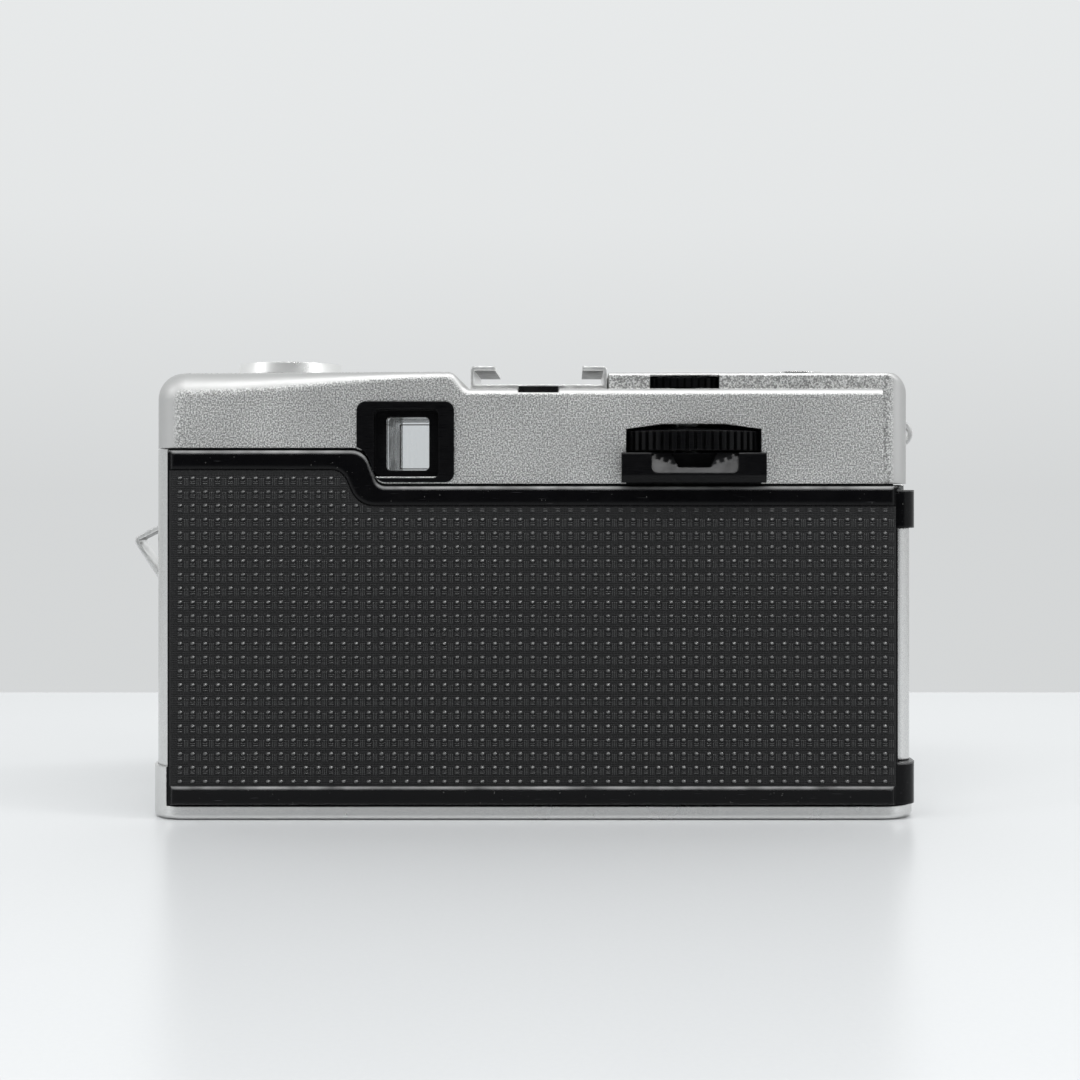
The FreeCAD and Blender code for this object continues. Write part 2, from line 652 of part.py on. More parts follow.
def leather_outline(grow=0.0):
    """The leatherette's edge: just inside the door's sides and its top and bottom borders."""
    half = dim.door_half - 0.3 + grow
    return [
        (-half, 4.95, 0),
        (half, 4.95, 0),
        (half, dim.seam_low - 3.15, 0),
        (dim.seam_foot_x - 2.8, dim.seam_low - 3.15, 3.7),
        (dim.seam_top_x - 3.1, dim.seam_high - 3.1, 2.4),
        (-half, dim.seam_high - 3.1, 0),
    ]


def build_door():
    """Back door with its gloss borders, flange, hinge ears and catch."""
    outer, inner = dim.door_back, dim.door_inside
    panel = prism("door_panel", "XZ", [door_outline()], outer, inner)
    half = dim.door_half - 0.5
    rim = stepped(-half, half, dim.door_low, -0.25)
    border_body = prism("door_border", "XZ", [rim], outer - dim.border_out, outer)
    face = (outer - dim.border_out).value
    leather_space = prism("leather_space", "XZ", [leather_outline(1.0)], outer - 3, outer)
    borders = cut("door_borders", border_body, leather_space)
    border = soften(
        "door_border_edges",
        borders,
        lambda point: 0.55,
        lambda edge: abs(edge.YMin - face) < 1e-4 and abs(edge.YMax - face) < 1e-4,
    )
    flange_top = [
        (-51.2, 51.3, 0),
        (-25.5, 51.3, 0),
        (-23.9, 46.3, 0),
        (48.5, 46.3, 0),
        (48.5, 47.1, 0),
        (-23.3, 47.1, 0),
        (-24.9, 52.2, 0),
        (-51.2, 52.2, 0),
    ]
    flange = prism("door_flange", "XZ", [flange_top, rectangle(-51.2, 48.5, 2.35, 3.1)], inner, chassis_gap())
    catch = box("door_catch", (-51.3, inner, 34.0), (-50.6, inner + 2.2, 40.0))
    ears = []
    heights = (("low", dim.door_low, dim.ear_low_z), ("high", dim.ear_high_z, dim.seam_low - 0.8))
    for name, low, high in heights:
        outline = [(49.9, outer, 0), (54.8, outer, 2.6), (54.8, -7.1, 2.4), (49.9, -7.1, 2.4)]
        ears.append(prism(f"ear_{name}", "XY", [outline], low, high))
    solid = fuse("door_solid", panel, border, flange, catch, *ears)
    pin_hole = cylinder("ear_bores", dim.hinge_pin_r + dim.clearance, 60, (dim.hinge_x, dim.hinge_y, -2))
    node("back_door", cut("back_door_cut", solid, pin_hole))
    sheet = new_body("door_leather_body")
    pad(sheet, "door_leather_pad", "XZ", [leather_outline()], outer - 0.5, outer)
    rounded(
        sheet,
        "leather_sides",
        0.4,
        lambda edge, point: abs(edge.BoundBox.YMin - (outer.value - 0.5)) < 1e-4
        and edge.BoundBox.XLength < 1e-3
        and edge.BoundBox.YLength < 1e-3,
    )
    node("door_leatherette", sheet)
    barrel_z = (dim.ear_low_z + 0.1, dim.ear_high_z - 0.1)
    x, y = dim.hinge_x, dim.hinge_y
    web = box("barrel_web", (49.0, -9.4, barrel_z[0]), (x, -6.9, barrel_z[1]))
    tube = cylinder("barrel_round", dim.barrel_r, barrel_z[1] - barrel_z[0], (x, y, barrel_z[0]))
    bore = cylinder("barrel_bore", dim.hinge_pin_r + 0.02, 60, (x, y, -2))
    node("hinge_barrel", cut("hinge_barrel_cut", fuse("barrel_solid", tube, web), bore))
    node("hinge_pin", cylinder("hinge_pin_rod", dim.hinge_pin_r, 44.6, (x, y, 2.3)))


def chassis_gap():
    return dim.chassis_back - 0.1


def build_pressure_plate():
    """Sprung plate that holds the film flat, and its leaf spring."""
    y = dim.chassis_back
    plate = new_body("pressure_plate_body")
    pad(plate, "plate", "XZ", [rectangle(-14.5, 14.5, 8.0, 45.2, 2.0)], -11.95, -11.25)
    dimples = [(x, z, 0.6) for x in (-9.0, 0.0, 9.0) for z in (13.0, 20.0, 27.0, 34.0, 41.0)]
    pocket(plate, "plate_dimples", "XZ", dimples, -12.5, -11.7)
    node("pressure_plate", plate)
    leaf = [
        (-11.0, -12.45, 0),
        (-8.5, -12.45, 0),
        (-4.0, -13.15, 0),
        (4.0, -13.15, 0),
        (8.5, -12.45, 0),
        (11.0, -12.45, 0),
        (11.0, -12.65, 0),
        (8.6, -12.65, 0),
        (4.1, -13.38, 0),
        (-4.1, -13.38, 0),
        (-8.6, -12.65, 0),
        (-11.0, -12.65, 0),
    ]
    node("pressure_spring", prism("pressure_leaf", "XY", [leaf], 22.0, 32.0))
    strips = [
        box("foam_low", (-48.0, -13.3, 3.15), (47.0, y, 3.75)),
        box("foam_right", (-22.5, -13.3, 46.0), (47.0, y, 46.25)),
        box("foam_left", (-49.0, -13.3, 51.05), (-26.5, y, 51.25)),
    ]
    node("light_seal_foam", fuse("foam_strips", *strips))


def build_latch():
    """Back latch: a bent tab on the end, a sliding plate with a hook, and its return spring."""
    tab = [
        (-53.5, 42.4, 0),
        (-55.0, 42.4, 0),
        (-60.1, 39.7, 0.9),
        (-55.0, 31.9, 0),
        (-53.5, 31.9, 0),
        (-53.5, 32.6, 0),
        (-54.6, 32.6, 0),
        (-59.3, 39.45, 0.3),
        (-54.8, 41.7, 0),
        (-53.5, 41.7, 0),
    ]
    node("latch_tab", prism("latch_tab_strip", "XZ", [tab], -2.4, 2.4))
    plate = box("latch_plate", (-53.5, -2.9, 29.5), (-52.9, 2.9, 44.5))
    node("latch_slide", plate)
    coil = ring("latch_coil", 0.7, 0.4, 4.9, (-52.95, 0, 24.5))
    node("latch_spring", coil)


# ---------------------------------------------------------------- film transport
def notch(radius, depth, width):
    """A groove in a rim at -Y, narrower at its foot."""
    rim, foot = -radius - 1, -radius + depth
    return [
        (-width / 2, rim, 0),
        (width / 2, rim, 0),
        (width * 0.2, foot, 0),
        (-width * 0.2, foot, 0),
    ]


def knurled_disc(label, radius, low, high, teeth, depth, width):
    """A disc round Z at the origin with notches round its rim."""
    body = new_body(label)
    pad(body, label + "_disc", "XY", [(0, 0, radius)], low, high)
    cutter = pocket(body, label + "_notch", "XY", [notch(radius, depth, width)], low, high)
    polar(body, cutter, label + "_notches", teeth)
    return body


def gear(label, teeth, low, high, bore, at, turn_deg):
    """A spur gear with involute teeth, thinned a little for backlash; one tooth points along the turn."""
    pressure_angle = 20
    addendum, dedendum = 1.0, 1.25
    root_fillet, shift = 0.38, -0.12
    module, count = dim.gear_module.value, int(teeth.value)
    builder = fcgear.FCWireBuilder()
    involute.CreateExternalGear(
        builder, module, count, pressure_angle, True, addendum, dedendum, root_fillet, shift
    )
    outline = Part.Wire([piece.toShape() for piece in builder.wire])
    disc = Part.Face(outline).extrude(Vector(0, 0, high - low))
    made = doc.addObject("Part::Feature", label + "_teeth")
    made.Shape = disc.cut(Part.makeCylinder(bore, high - low + 2, Vector(0, 0, -1)))
    made.Placement = Placement(Vector(at[0].value, at[1].value, low), Rotation(Vector(0, 0, 1), turn_deg))
    return made


def build_transport():
    ax, ay = dim.advance_x, dim.advance_y
    sx, sy = dim.spool_x, dim.spool_y
    toward = math.degrees(math.atan2((sy - ay).value, (sx - ax).value))
    low, band = dim.wheel_z, dim.wheel_band
    wheel = knurled_disc("wheel_body", dim.wheel_r, low, low + band, 64, 0.55, 0.85)
    place(wheel, (ax, ay, 0))
    dome = cone("wheel_dome", dim.wheel_r - 0.7, dim.wheel_r - 6.5, 0.7, (ax, ay, low + band))
    bore = cylinder("wheel_bore", 2.0, 8, (ax, ay, low - 1))
    node("advance_wheel", cut("advance_wheel_cut", fuse("advance_wheel_solid", wheel, dome), bore))
    rod = cylinder("advance_rod", 2.0, 52.4, (ax, ay, 4.6))
    gears_low, gears_high = 49.0, 51.2
    drive = gear("drive_gear", dim.drive_teeth, gears_low, gears_high, 1.0, (ax, ay), toward)
    node("advance_shaft", fuse("advance_shaft_solid", rod, drive))
    sprocket_parts = [ring("sprocket_drum", 5.6, 2.0, 33.0, (ax, ay, dim.lens_z - 16.5))]
    for tier, z in enumerate((dim.lens_z - 14.9, dim.lens_z + 13.3)):
        for i in range(8):
            angle = math.radians(45.0 * i + 22.5)
            tooth = box(f"sprocket_tooth_{tier}_{i}", (0, 0, 0), (1.6, 1.4, 1.6))
            corner_x = ax + 5.3 * math.cos(angle) + 0.7 * math.sin(angle)
            corner_y = ay + 5.3 * math.sin(angle) - 0.7 * math.cos(angle)
            place(tooth, (corner_x, corner_y, z), Rotation(Vector(0, 0, 1), math.degrees(angle)))
            sprocket_parts.append(tooth)
    node("film_sprocket", fuse("film_sprocket_solid", *sprocket_parts))
    facing = toward + 180.0 + 180.0 / dim.spool_teeth.value
    teeth = gear("driven_gear", dim.spool_teeth, gears_low, gears_high, 1.0, (sx, sy), facing)
    node("spool_gear", fuse("spool_gear_solid", teeth, cylinder("spool_rod", 1.5, 49.4, (sx, sy, 2.0))))
    core = ring("spool_core", 5.2, 1.5, 40.6, (sx, sy, 4.6))
    flanges = [ring(f"spool_flange_{i}", 8.3, 1.5, 1.0, (sx, sy, z)) for i, z in enumerate((4.6, 44.2))]
    slot = box("spool_slot", (sx - 6, sy - 0.5, 8.0), (sx - 4.4, sy + 0.5, 42.0))
    node("take_up_spool", cut("take_up_spool_cut", fuse("spool_solid", core, *flanges), slot))


def build_counter():
    """Frame counter dial, set by its raised knurled rim, and the window over its figures."""
    x, y = dim.dial_x, dim.dial_y
    disc = knurled_disc("dial_body", dim.dial_r, 61.75, 63.2, 58, 0.35, 0.6)
    pocket(disc, "dial_face", "XY", [(0, 0, dim.dial_r - 1.3)], 62.85, 64)
    place(disc, (x, y, 0))
    hub = cylinder("dial_hub", 1.6, 1.4, (x, y, 60.4))
    bore = cylinder("dial_bore", 1.0 + RUN, 5, (x, y, 59))
    node("counter_dial", cut("counter_dial_cut", fuse("counter_dial_solid", disc, hub), bore))
    hub_post = cylinder("counter_post", 1.0, 4.9, (x, y, 57.8))
    arm = box("counter_arm", (x - 1.5, y, 57.6), (x + 1.5, 12.9, 58.8))
    rx, ry = dim.release_x, dim.release_y
    seat = ring("release_seat", 6.0, 1.75, 1.2, (rx, ry, 54.5))
    leg = box("release_leg", (rx - 1.5, ry + 6.5, 48.65), (rx + 1.5, ry + 7.9, 55.7))
    rail = box("bracket_rail", (x - 1.5, 9.0, 57.0), (rx + 1.5, 10.4, 58.8))
    riser = box("bracket_riser", (rx - 1.5, ry + 5.0, 54.5), (rx + 1.5, 10.4, 58.8))
    node("top_bracket", fuse("top_bracket_solid", hub_post, arm, seat, leg, rail, riser))
    node("counter_window", cylinder("counter_glass", 3.35, 0.9, (x, -0.3, dim.high_deck - 0.85)))


def build_guard():
    """Black guard under the advance wheel, hollowed where the thumb reaches the wheel."""
    body = new_body("guard_body")
    foot = dim.seam_low + 0.25
    top, inner, outer = 52.3, -13.1, -17.2
    profile = [
        (inner, foot, 0),
        (inner, top, 0),
        (outer, top, 0.3),
        (outer, foot + 1.0, 0),
        (outer + 0.8, foot, 0),
    ]
    pad(body, "guard_block", "YZ", [profile], 12.6, 33.0)
    ends = [rectangle(12.0, 13.4, -14.35, -12, 0), rectangle(32.2, 34.0, -14.35, -12, 0)]
    pocket(body, "guard_ends", "XY", ends, 40, 60)
    deep = [
        (20.6, 50.2, 0.3),
        (25.2, 50.2, 0.3),
        (26.2, top + 0.1, 0),
        (19.6, top + 0.1, 0),
    ]
    pocket(body, "thumb_hollow", "XZ", [deep], -20, -15.0)
    recess_foot, recess_x = 49.4, (16.8, 29.1)
    slope = [
        (outer - 1, recess_foot - 1, 0),
        (outer, recess_foot, 0),
        (-15.3, top + 0.1, 0),
        (outer - 1, top + 0.1, 0),
    ]
    wedge = prism("thumb_slope", "YZ", [slope], *recess_x)
    edge = prism("thumb_outline", "XZ", [rectangle(*recess_x, recess_foot, 60.0, 0.9)], -20, -14)
    node("wheel_guard", cut("wheel_guard_cut", body, common("thumb_recess", wedge, edge)))


# ---------------------------------------------------------------- rewind
def build_rewind():
    x, y, r = dim.cassette_x, dim.cassette_y, dim.knob_r
    rod = cylinder("rewind_rod", 2.2, 18.6, (x, y, 46.0))
    node("rewind_collar", ring("detent_collar", 3.8, 2.2 + RUN, 1.2, (x, y, 54.0)))
    gap = box("fork_gap", (x - 0.9, y - 4, 45), (x + 0.9, y + 4, 48.2))
    node("rewind_shaft", cut("rewind_shaft_cut", rod, gap))
    dish = cone("knob_skirt", r, r - 0.25, 1.6, (x, y, dim.high_deck + 0.2))
    hollow = cylinder("knob_dish", r - 1.2, 2, (x, y, dim.high_deck + 0.75))
    bore = cylinder("knob_bore", 2.2, 5.2, (x, y, 60))
    neck = cylinder("knob_neck", 2.85, 1.5, (x, y, dim.high_deck - 1.2))
    solid = cut("knob_turned", fuse("knob_blank", dish, neck), fuse("knob_hollows", hollow, bore))
    pin_x, pin_z, pin_r = x - 3.6, dim.high_deck + 1.15, 0.35
    lugs = []
    for i, lug_y in enumerate((y - 1.7, y + 1.1)):
        low = (pin_x - 0.7, lug_y, dim.high_deck + 0.7)
        high = (pin_x + 0.7, lug_y + 0.6, dim.high_deck + 1.6)
        lugs.append(box(f"crank_lug_{i}", low, high))
    pin_bore = cylinder("lug_bore", pin_r + RUN, 6, (pin_x, y - 3, pin_z), "y")
    arm_relief = cylinder("arm_relief", 0.65, 2.15, (pin_x, y - 1.075, pin_z), "y")
    blank = fuse("rewind_knob_solid", solid, *lugs)
    node("rewind_knob", cut("rewind_knob_cut", blank, pin_bore, arm_relief))
    arm_z = dim.high_deck + 0.85
    arm = box("crank_arm", (pin_x - 0.5, y - 1.0, arm_z), (x + 5.0, y + 1.0, arm_z + 0.6))
    pin = cylinder("crank_pin", pin_r, 3.4, (pin_x, y - 1.7, pin_z), "y")
    node("rewind_crank", fuse("rewind_crank_solid", arm, pin))


def build_release():
    x, y = dim.release_x, dim.release_y
    top = dim.high_deck
    rim = ring("collar_rim", 6.6, 4.6, 0.4, (x, y, top))
    sleeve = ring("collar_sleeve", 5.5, 4.6, 2.4, (x, y, top - 2.2))
    node("release_collar", fuse("collar_solid", rim, sleeve))
    cap = cylinder("button_cap", 4.5, 3.2, (x, y, top - 2.3))
    stem = cylinder("button_stem", 1.6, 6.0, (x, y, top - 8.0))
    socket = cylinder("cable_socket", 1.5, 3.5, (x, y, top - 2.6))
    node("shutter_button", cut("shutter_button_cut", fuse("button_solid", cap, stem), socket))
    node("release_spring", ring("release_coil", 2.6, 2.0, top - 2.3 - 55.7, (x, y, 55.7)))
    ax, ay = dim.advance_x, dim.advance_y
    pad_cap = cylinder("rewind_release_cap", 2.2, 1.3, (ax, ay, 0.1))
    flange = cylinder("rewind_release_flange", 2.6, 0.7, (ax, ay, 0.85))
    node("rewind_release_button", fuse("rewind_release_solid", pad_cap, flange))


# ---------------------------------------------------------------- viewfinder and meter
def build_finder():
    x, z = dim.finder_x, dim.finder_z
    body = new_body("surround_body")
    plate = rectangle(x - 7.15, x + 6.7, dim.seam_low + 0.3, 59.6, 1.3)
    pad(body, "surround_plate", "XZ", [plate], -14.75, -14.32)
    pad(body, "surround_tunnel", "XZ", [rectangle(x - 6.4, x + 5.9, 49.0, 59.0, 1.1)], -14.4, -10.2)
    pocket(body, "surround_opening", "XZ", [rectangle(x - 3.05, x + 3.05, z - 3.8, z + 3.8, 0.6)], -20, 0)
    pocket(body, "surround_funnel", "XZ", [rectangle(x - 4.7, x + 4.5, z - 4.9, z + 4.9, 0.8)], -20, -13.2)
    below = prism("surround_trim", "XZ", [stepped(-BIG, BIG, 0, 0.3)], -30, 30)
    node("eyepiece_surround", cut("eyepiece_surround_cut", body, below))
    lens = prism("eyepiece_glass", "XZ", [rectangle(x - 3.0, x + 3.0, z - 3.75, z + 3.75, 0.5)], -11.9, -10.7)
    node("eyepiece_lens", lens)
    tube = rectangle(x - 4.05, x + 4.05, z - 4.75, z + 4.75)
    tube_bore = rectangle(x - 3.35, x + 3.35, z - 4.05, z + 4.05)
    node("finder_housing", prism("finder_tube", "XZ", [tube, tube_bore], -10.1, 12.9))
    line = rectangle(x - 2.9, x + 2.9, z - 3.45, z + 3.45, 0.3)
    line_bore = rectangle(x - 2.75, x + 2.75, z - 3.3, z + 3.3, 0.2)
    node("bright_frame", prism("frame_line", "XZ", [line, line_bore], 4.0, 4.15))
    window = prism("front_window_glass", "XZ", [rectangle(x - 4.6, -3.5, 49.7, 58.5, 0.7)], 13.0, 14.1)
    node("finder_front_window", window)
    mx, my = 2.5, 3.0
    coil_case = ring("meter_case", 5.5, 4.0, 7.0, (mx, my, 48.7))
    base = cylinder("meter_base", 5.5, 1.0, (mx, my, 48.65))
    post = cylinder("meter_pivot", 0.6, 8.9, (mx, my, 49.0))
    node("meter_movement", fuse("meter_movement_solid", coil_case, base, post))
    hub = ring("needle_hub", 1.4, 0.65, 0.6, (mx, my, 56.6))
    pointer = box("needle_pointer", (mx - 13.5, my - 0.25, 56.7), (mx - 1.0, my + 0.25, 57.0))
    node("meter_needle", fuse("meter_needle_solid", hub, pointer))


def build_shoe():
    x, deck = dim.shoe_x, dim.low_deck
    half, wall = dim.shoe_slot_half, 0.5
    floor = deck + 0.75
    top = floor + dim.shoe_height
    section = [
        (x - half - wall, deck + 0.05, 0),
        (x + half + wall, deck + 0.05, 0),
        (x + half + wall, top + 0.65, 0.6),
        (x + 6.3, top + 0.65, 0),
        (x + 6.3, top, 0),
        (x + half, top, 0),
        (x + half, floor, 0),
        (x - half, floor, 0),
        (x - half, top, 0),
        (x - 6.3, top, 0),
        (x - 6.3, top + 0.65, 0),
        (x - half - wall, top + 0.65, 0.6),
    ]
    rails = prism("shoe_rails", "XZ", [section], -10.6, 8.2)
    hole = cylinder("shoe_contact_bore", 2.4, 4, (x, 1.5, 60))
    screw_holes = []
    for i, (dx, y) in enumerate(SHOE_SCREWS):
        screw_holes.append(cylinder(f"shoe_bore_{i}", 0.75, 4, (x + dx, y, 60.0)))
    tail_notch = box("shoe_notch", (x - 2.9, -12, deck - 1), (x + 2.9, -9.4, floor - 0.4))
    node("hot_shoe", cut("hot_shoe_cut", rails, hole, tail_notch, *screw_holes))
    bush = ring("insulator_bush", 2.3, 0.9, 0.7, (x, 1.5, deck + 0.05))
    neck = ring("insulator_neck", 1.6, 0.9, 1.5, (x, 1.5, deck - 1.4))
    block = box("insulator_tail", (x - 2.8, -13.9, deck - 0.55), (x + 2.8, -9.95, deck + 0.3))
    strip = box("insulator_strip", (x - 1.6, -10.5, deck - 1.4), (x + 1.6, 0.2, deck - 0.95))
    tail_leg = box("insulator_leg", (x - 1.6, -11.5, deck - 1.4), (x + 1.6, -10.2, deck - 0.5))
    node("shoe_insulator", fuse("shoe_insulator_solid", bush, neck, block, strip, tail_leg))
    node("shoe_contact", cylinder("contact_stud", 0.85, 2.6, (x, 1.5, deck - 1.8)))
    screws = []
    for i, (dx, y) in enumerate(SHOE_SCREWS):
        screws.append(cylinder(f"shoe_screw_{i}", 0.7, 1.9, (x + dx, y, floor - 2.0)))
    node("shoe_screws", fuse("shoe_screw_set", *screws))


def build_fittings():
    """Flash socket on the left end and the strap eyelet on the right."""
    y, z = dim.socket_y, dim.socket_z
    mouth = -dim.cover_half - 1.05
    flange = ring("socket_flange", 2.8, 1.75, 2.6, (mouth, y, z), "x")
    sleeve = ring("socket_sleeve", 1.7, 1.25, 2.8, (mouth - 0.1, y, z), "x")
    floor = cylinder("socket_floor", 2.8, 0.7, (mouth + 2.3, y, z), "x")
    core = cylinder("socket_pin", 0.45, 2.0, (mouth + 0.5, y, z), "x")
    node("sync_socket", fuse("sync_socket_solid", flange, sleeve, floor, core))
    wall = dim.cover_half - dim.cover_t
    eye = ring("eyelet_ring", 2.0, 1.35, 1.0, (dim.cover_half + 0.65, -0.5, 55.5), "y")
    foot = box("eyelet_foot", (wall - 1.15, -1.6, 53.0), (wall - 0.05, 1.6, 58.0))
    inner_half = box("eyelet_inner", (50, -3, 50), (wall - 0.05, 3, 60))
    node("strap_eyelet", fuse("strap_eyelet_solid", cut("eyelet_outer", eye, inner_half), foot))


# ---------------------------------------------------------------- lens and shutter
def lens_ring(name, outer, inner, low, high):
    """A ring round the optical axis, from low to high along +Y."""
    return ring(name, outer, inner, as_size(high) - low, (0, low, dim.lens_z), "y")


def lens_disc(name, radius, low, high):
    return cylinder(name, radius, as_size(high) - low, (0, low, dim.lens_z), "y")


def grip_ring(label, outer, inner, low, high, notches, stub=0.0):
    """A turning ring round the optical axis with grooves round its rim."""
    body = new_body(label + "_body")
    pad(body, label + "_blank", "XY", [(0, 0, outer), (0, 0, inner)], 0, high - low)
    groove = notch(outer, 0.5, 1.3)
    cutter = pocket(body, label + "_groove", "XY", [groove], 0.6, high - low - 0.6)
    polar(body, cutter, label + "_grooves", notches)
    place(body, (0, low, dim.lens_z), TURNS["y"])
    return node(label, body)


def element(label, radius, low, high, front_r, rear_r):
    """A lens element with spherical faces; a negative face radius is hollow."""
    shape = lens_disc(label + "_disc", radius, low, high)
    for face, r, y, outward in (("front", front_r, high, 1), ("rear", rear_r, low, -1)):
        ball = doc.addObject("Part::Sphere", f"{label}_{face}_sphere")
        bind(ball, Radius=abs(r))
        if r > 0:
            place(ball, (0, y - outward * r, dim.lens_z))
            shape = common(f"{label}_{face}", shape, ball)
            continue
        sag = abs(r) - math.sqrt(r * r - radius * radius)
        place(ball, (0, y + outward * (abs(r) - sag), dim.lens_z))
        shape = cut(f"{label}_{face}", shape, ball)
    return shape


def build_lens():
    z = dim.lens_z
    tube = [
        lens_ring("tube_base", 25.0, 19.9, dim.body_front, 17.6),
        lens_ring("tube_flange", 20.4, 10.6, dim.chassis_front, dim.body_front + 0.1),
        lens_ring("tube_wall", 20.2, 18.6, dim.chassis_front + 0.2, 26.6),
        lens_ring("tube_web", 18.7, 7.2, 19.4, 20.4),
        lens_ring("tube_inner", 11.4, 7.2, 19.6, 27.7),
        lens_ring("rear_cell", 11.0, 6.65, 8.4, dim.chassis_front + 0.2),
    ]
    rim_out = lens_disc("tube_rim_out", 11.4, 27.7, 28.9)
    rim_in = cone("tube_rim_in", 7.2, 10.6, 1.2, (0, 27.7, z), "y")
    node("lens_tube", fuse("lens_tube_solid", *tube, cut("tube_rim", rim_out, rim_in)))
    grip_ring("aperture_ring", 24.8, 20.25, 17.7, 22.1, 60)
    grip_ring("film_speed_ring", 24.0, 20.25, 22.2, 24.8, 48)
    thread = lens_ring("bezel_thread", 23.6, dim.filter_r, 29.1, 31.0)
    wall = lens_ring("bezel_wall", 23.6, 21.2, 24.9, 29.1)
    seat = lens_ring("bezel_seat", 23.6, 20.25, 24.9, 26.7)
    lip = lens_ring("bezel_lip", 21.6, 20.6, 27.9, 28.4)
    node("front_bezel", fuse("bezel_solid", thread, wall, seat, lip))
    node("selenium_cell", lens_ring("cell_plate", 20.1, 11.5, 26.7, 27.3))
    node("cell_window", lens_ring("window_plate", 20.5, 11.5, 27.35, 27.85))
    node("front_element", element("front_glass", 7.15, 23.2, 26.4, 19.0, 120.0))
    node("middle_element", element("middle_glass", 7.15, 20.5, 22.4, -40.0, -30.0))
    node("rear_element", element("rear_glass", 6.6, 8.6, 12.2, 60.0, 22.0))
    build_shutter(z)


def build_shutter(z):
    """Two blades that swing apart in their own layers inside a flat housing."""
    floor = lens_ring("housing_floor", 18.5, 5.0, 14.6, 15.4)
    wall = lens_ring("housing_wall", 18.5, 16.9, 15.4, 19.3)
    lid = lens_ring("housing_lid", 18.5, 5.0, 17.6, 18.4)
    post_z = z + 11.5
    posts = [cylinder(f"blade_post_{i}", 0.7, 2.4, (x, 15.3, post_z), "y") for i, x in enumerate((-5.0, 5.0))]
    node("shutter_housing", fuse("shutter_housing_solid", floor, wall, lid, *posts))
    for name, side, low in (("left", -1, 15.7), ("right", 1, 16.7)):
        x = 5.0 * side
        outline = [
            (x - 2.2, z + 13.5, 1.8),
            (x + 2.2, z + 13.5, 1.8),
            (x + 2.2 if side < 0 else 6.6, z + 6.0, 1.0),
            (1.6 if side < 0 else 6.6, z - 7.0, 1.5),
            (-6.6 if side < 0 else -1.6, z - 7.0, 1.5),
            (-6.6 if side < 0 else x - 2.2, z + 6.0, 1.0),
        ]
        blade = prism(f"blade_{name}", "XZ", [outline], low, low + 0.4)
        bore = cylinder(f"blade_bore_{name}", 0.7 + RUN, 6, (x, 13, post_z), "y")
        node(f"shutter_blade_{name}", cut(f"shutter_blade_{name}_cut", blade, bore))


# ---------------------------------------------------------------- build, check and write
def check_and_write():
    doc.recompute()
    failed = [o.Name for o in doc.Objects if "Invalid" in o.State or "Error" in o.State]
    if failed:
        sys.exit(f"failed objects: {failed}")
    os.makedirs("parts", exist_ok=True)
    for old in os.listdir("parts"):
        if old.endswith(".step") and old[:-5] not in NODES:
            os.remove(os.path.join("parts", old))
    for label, obj in sorted(NODES.items()):
        shape = obj.Shape
        if shape.isNull() or not shape.isValid() or not shape.Solids:
            sys.exit(f"{label}: the shape is not a valid solid")
        shape.exportStep(os.path.join("parts", label + ".step"))
    print(len(NODES), "sub-parts written")


build_chassis()
build_shell()
build_bottom()
build_cover()
build_door()
build_pressure_plate()
build_latch()
build_transport()
build_counter()
build_guard()
build_rewind()
build_release()
build_finder()
build_shoe()
build_fittings()
build_lens()
check_and_write()
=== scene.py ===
import json
import math

import bpy
from mathutils import Matrix, Vector
from mathutils.bvhtree import BVHTree


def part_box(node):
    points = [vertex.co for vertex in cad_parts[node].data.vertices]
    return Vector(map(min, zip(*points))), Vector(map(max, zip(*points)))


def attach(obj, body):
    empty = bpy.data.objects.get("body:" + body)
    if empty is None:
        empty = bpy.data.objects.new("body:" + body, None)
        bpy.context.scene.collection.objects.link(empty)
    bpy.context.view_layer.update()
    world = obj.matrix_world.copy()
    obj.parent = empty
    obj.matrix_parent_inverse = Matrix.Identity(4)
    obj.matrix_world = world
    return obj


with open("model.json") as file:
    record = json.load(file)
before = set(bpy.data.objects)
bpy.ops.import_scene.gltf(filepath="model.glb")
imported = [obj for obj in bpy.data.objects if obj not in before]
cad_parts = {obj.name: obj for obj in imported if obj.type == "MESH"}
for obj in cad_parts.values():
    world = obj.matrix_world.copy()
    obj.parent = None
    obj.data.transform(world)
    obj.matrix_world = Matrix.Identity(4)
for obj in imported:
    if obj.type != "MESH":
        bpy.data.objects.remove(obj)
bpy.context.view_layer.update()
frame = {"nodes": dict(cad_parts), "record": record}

MM = 0.001
LENS_AXIS_Z = 27.0 * MM
SLOT_OF = {row["node"]: row["material_slot"] for row in frame["record"]["subparts"]}


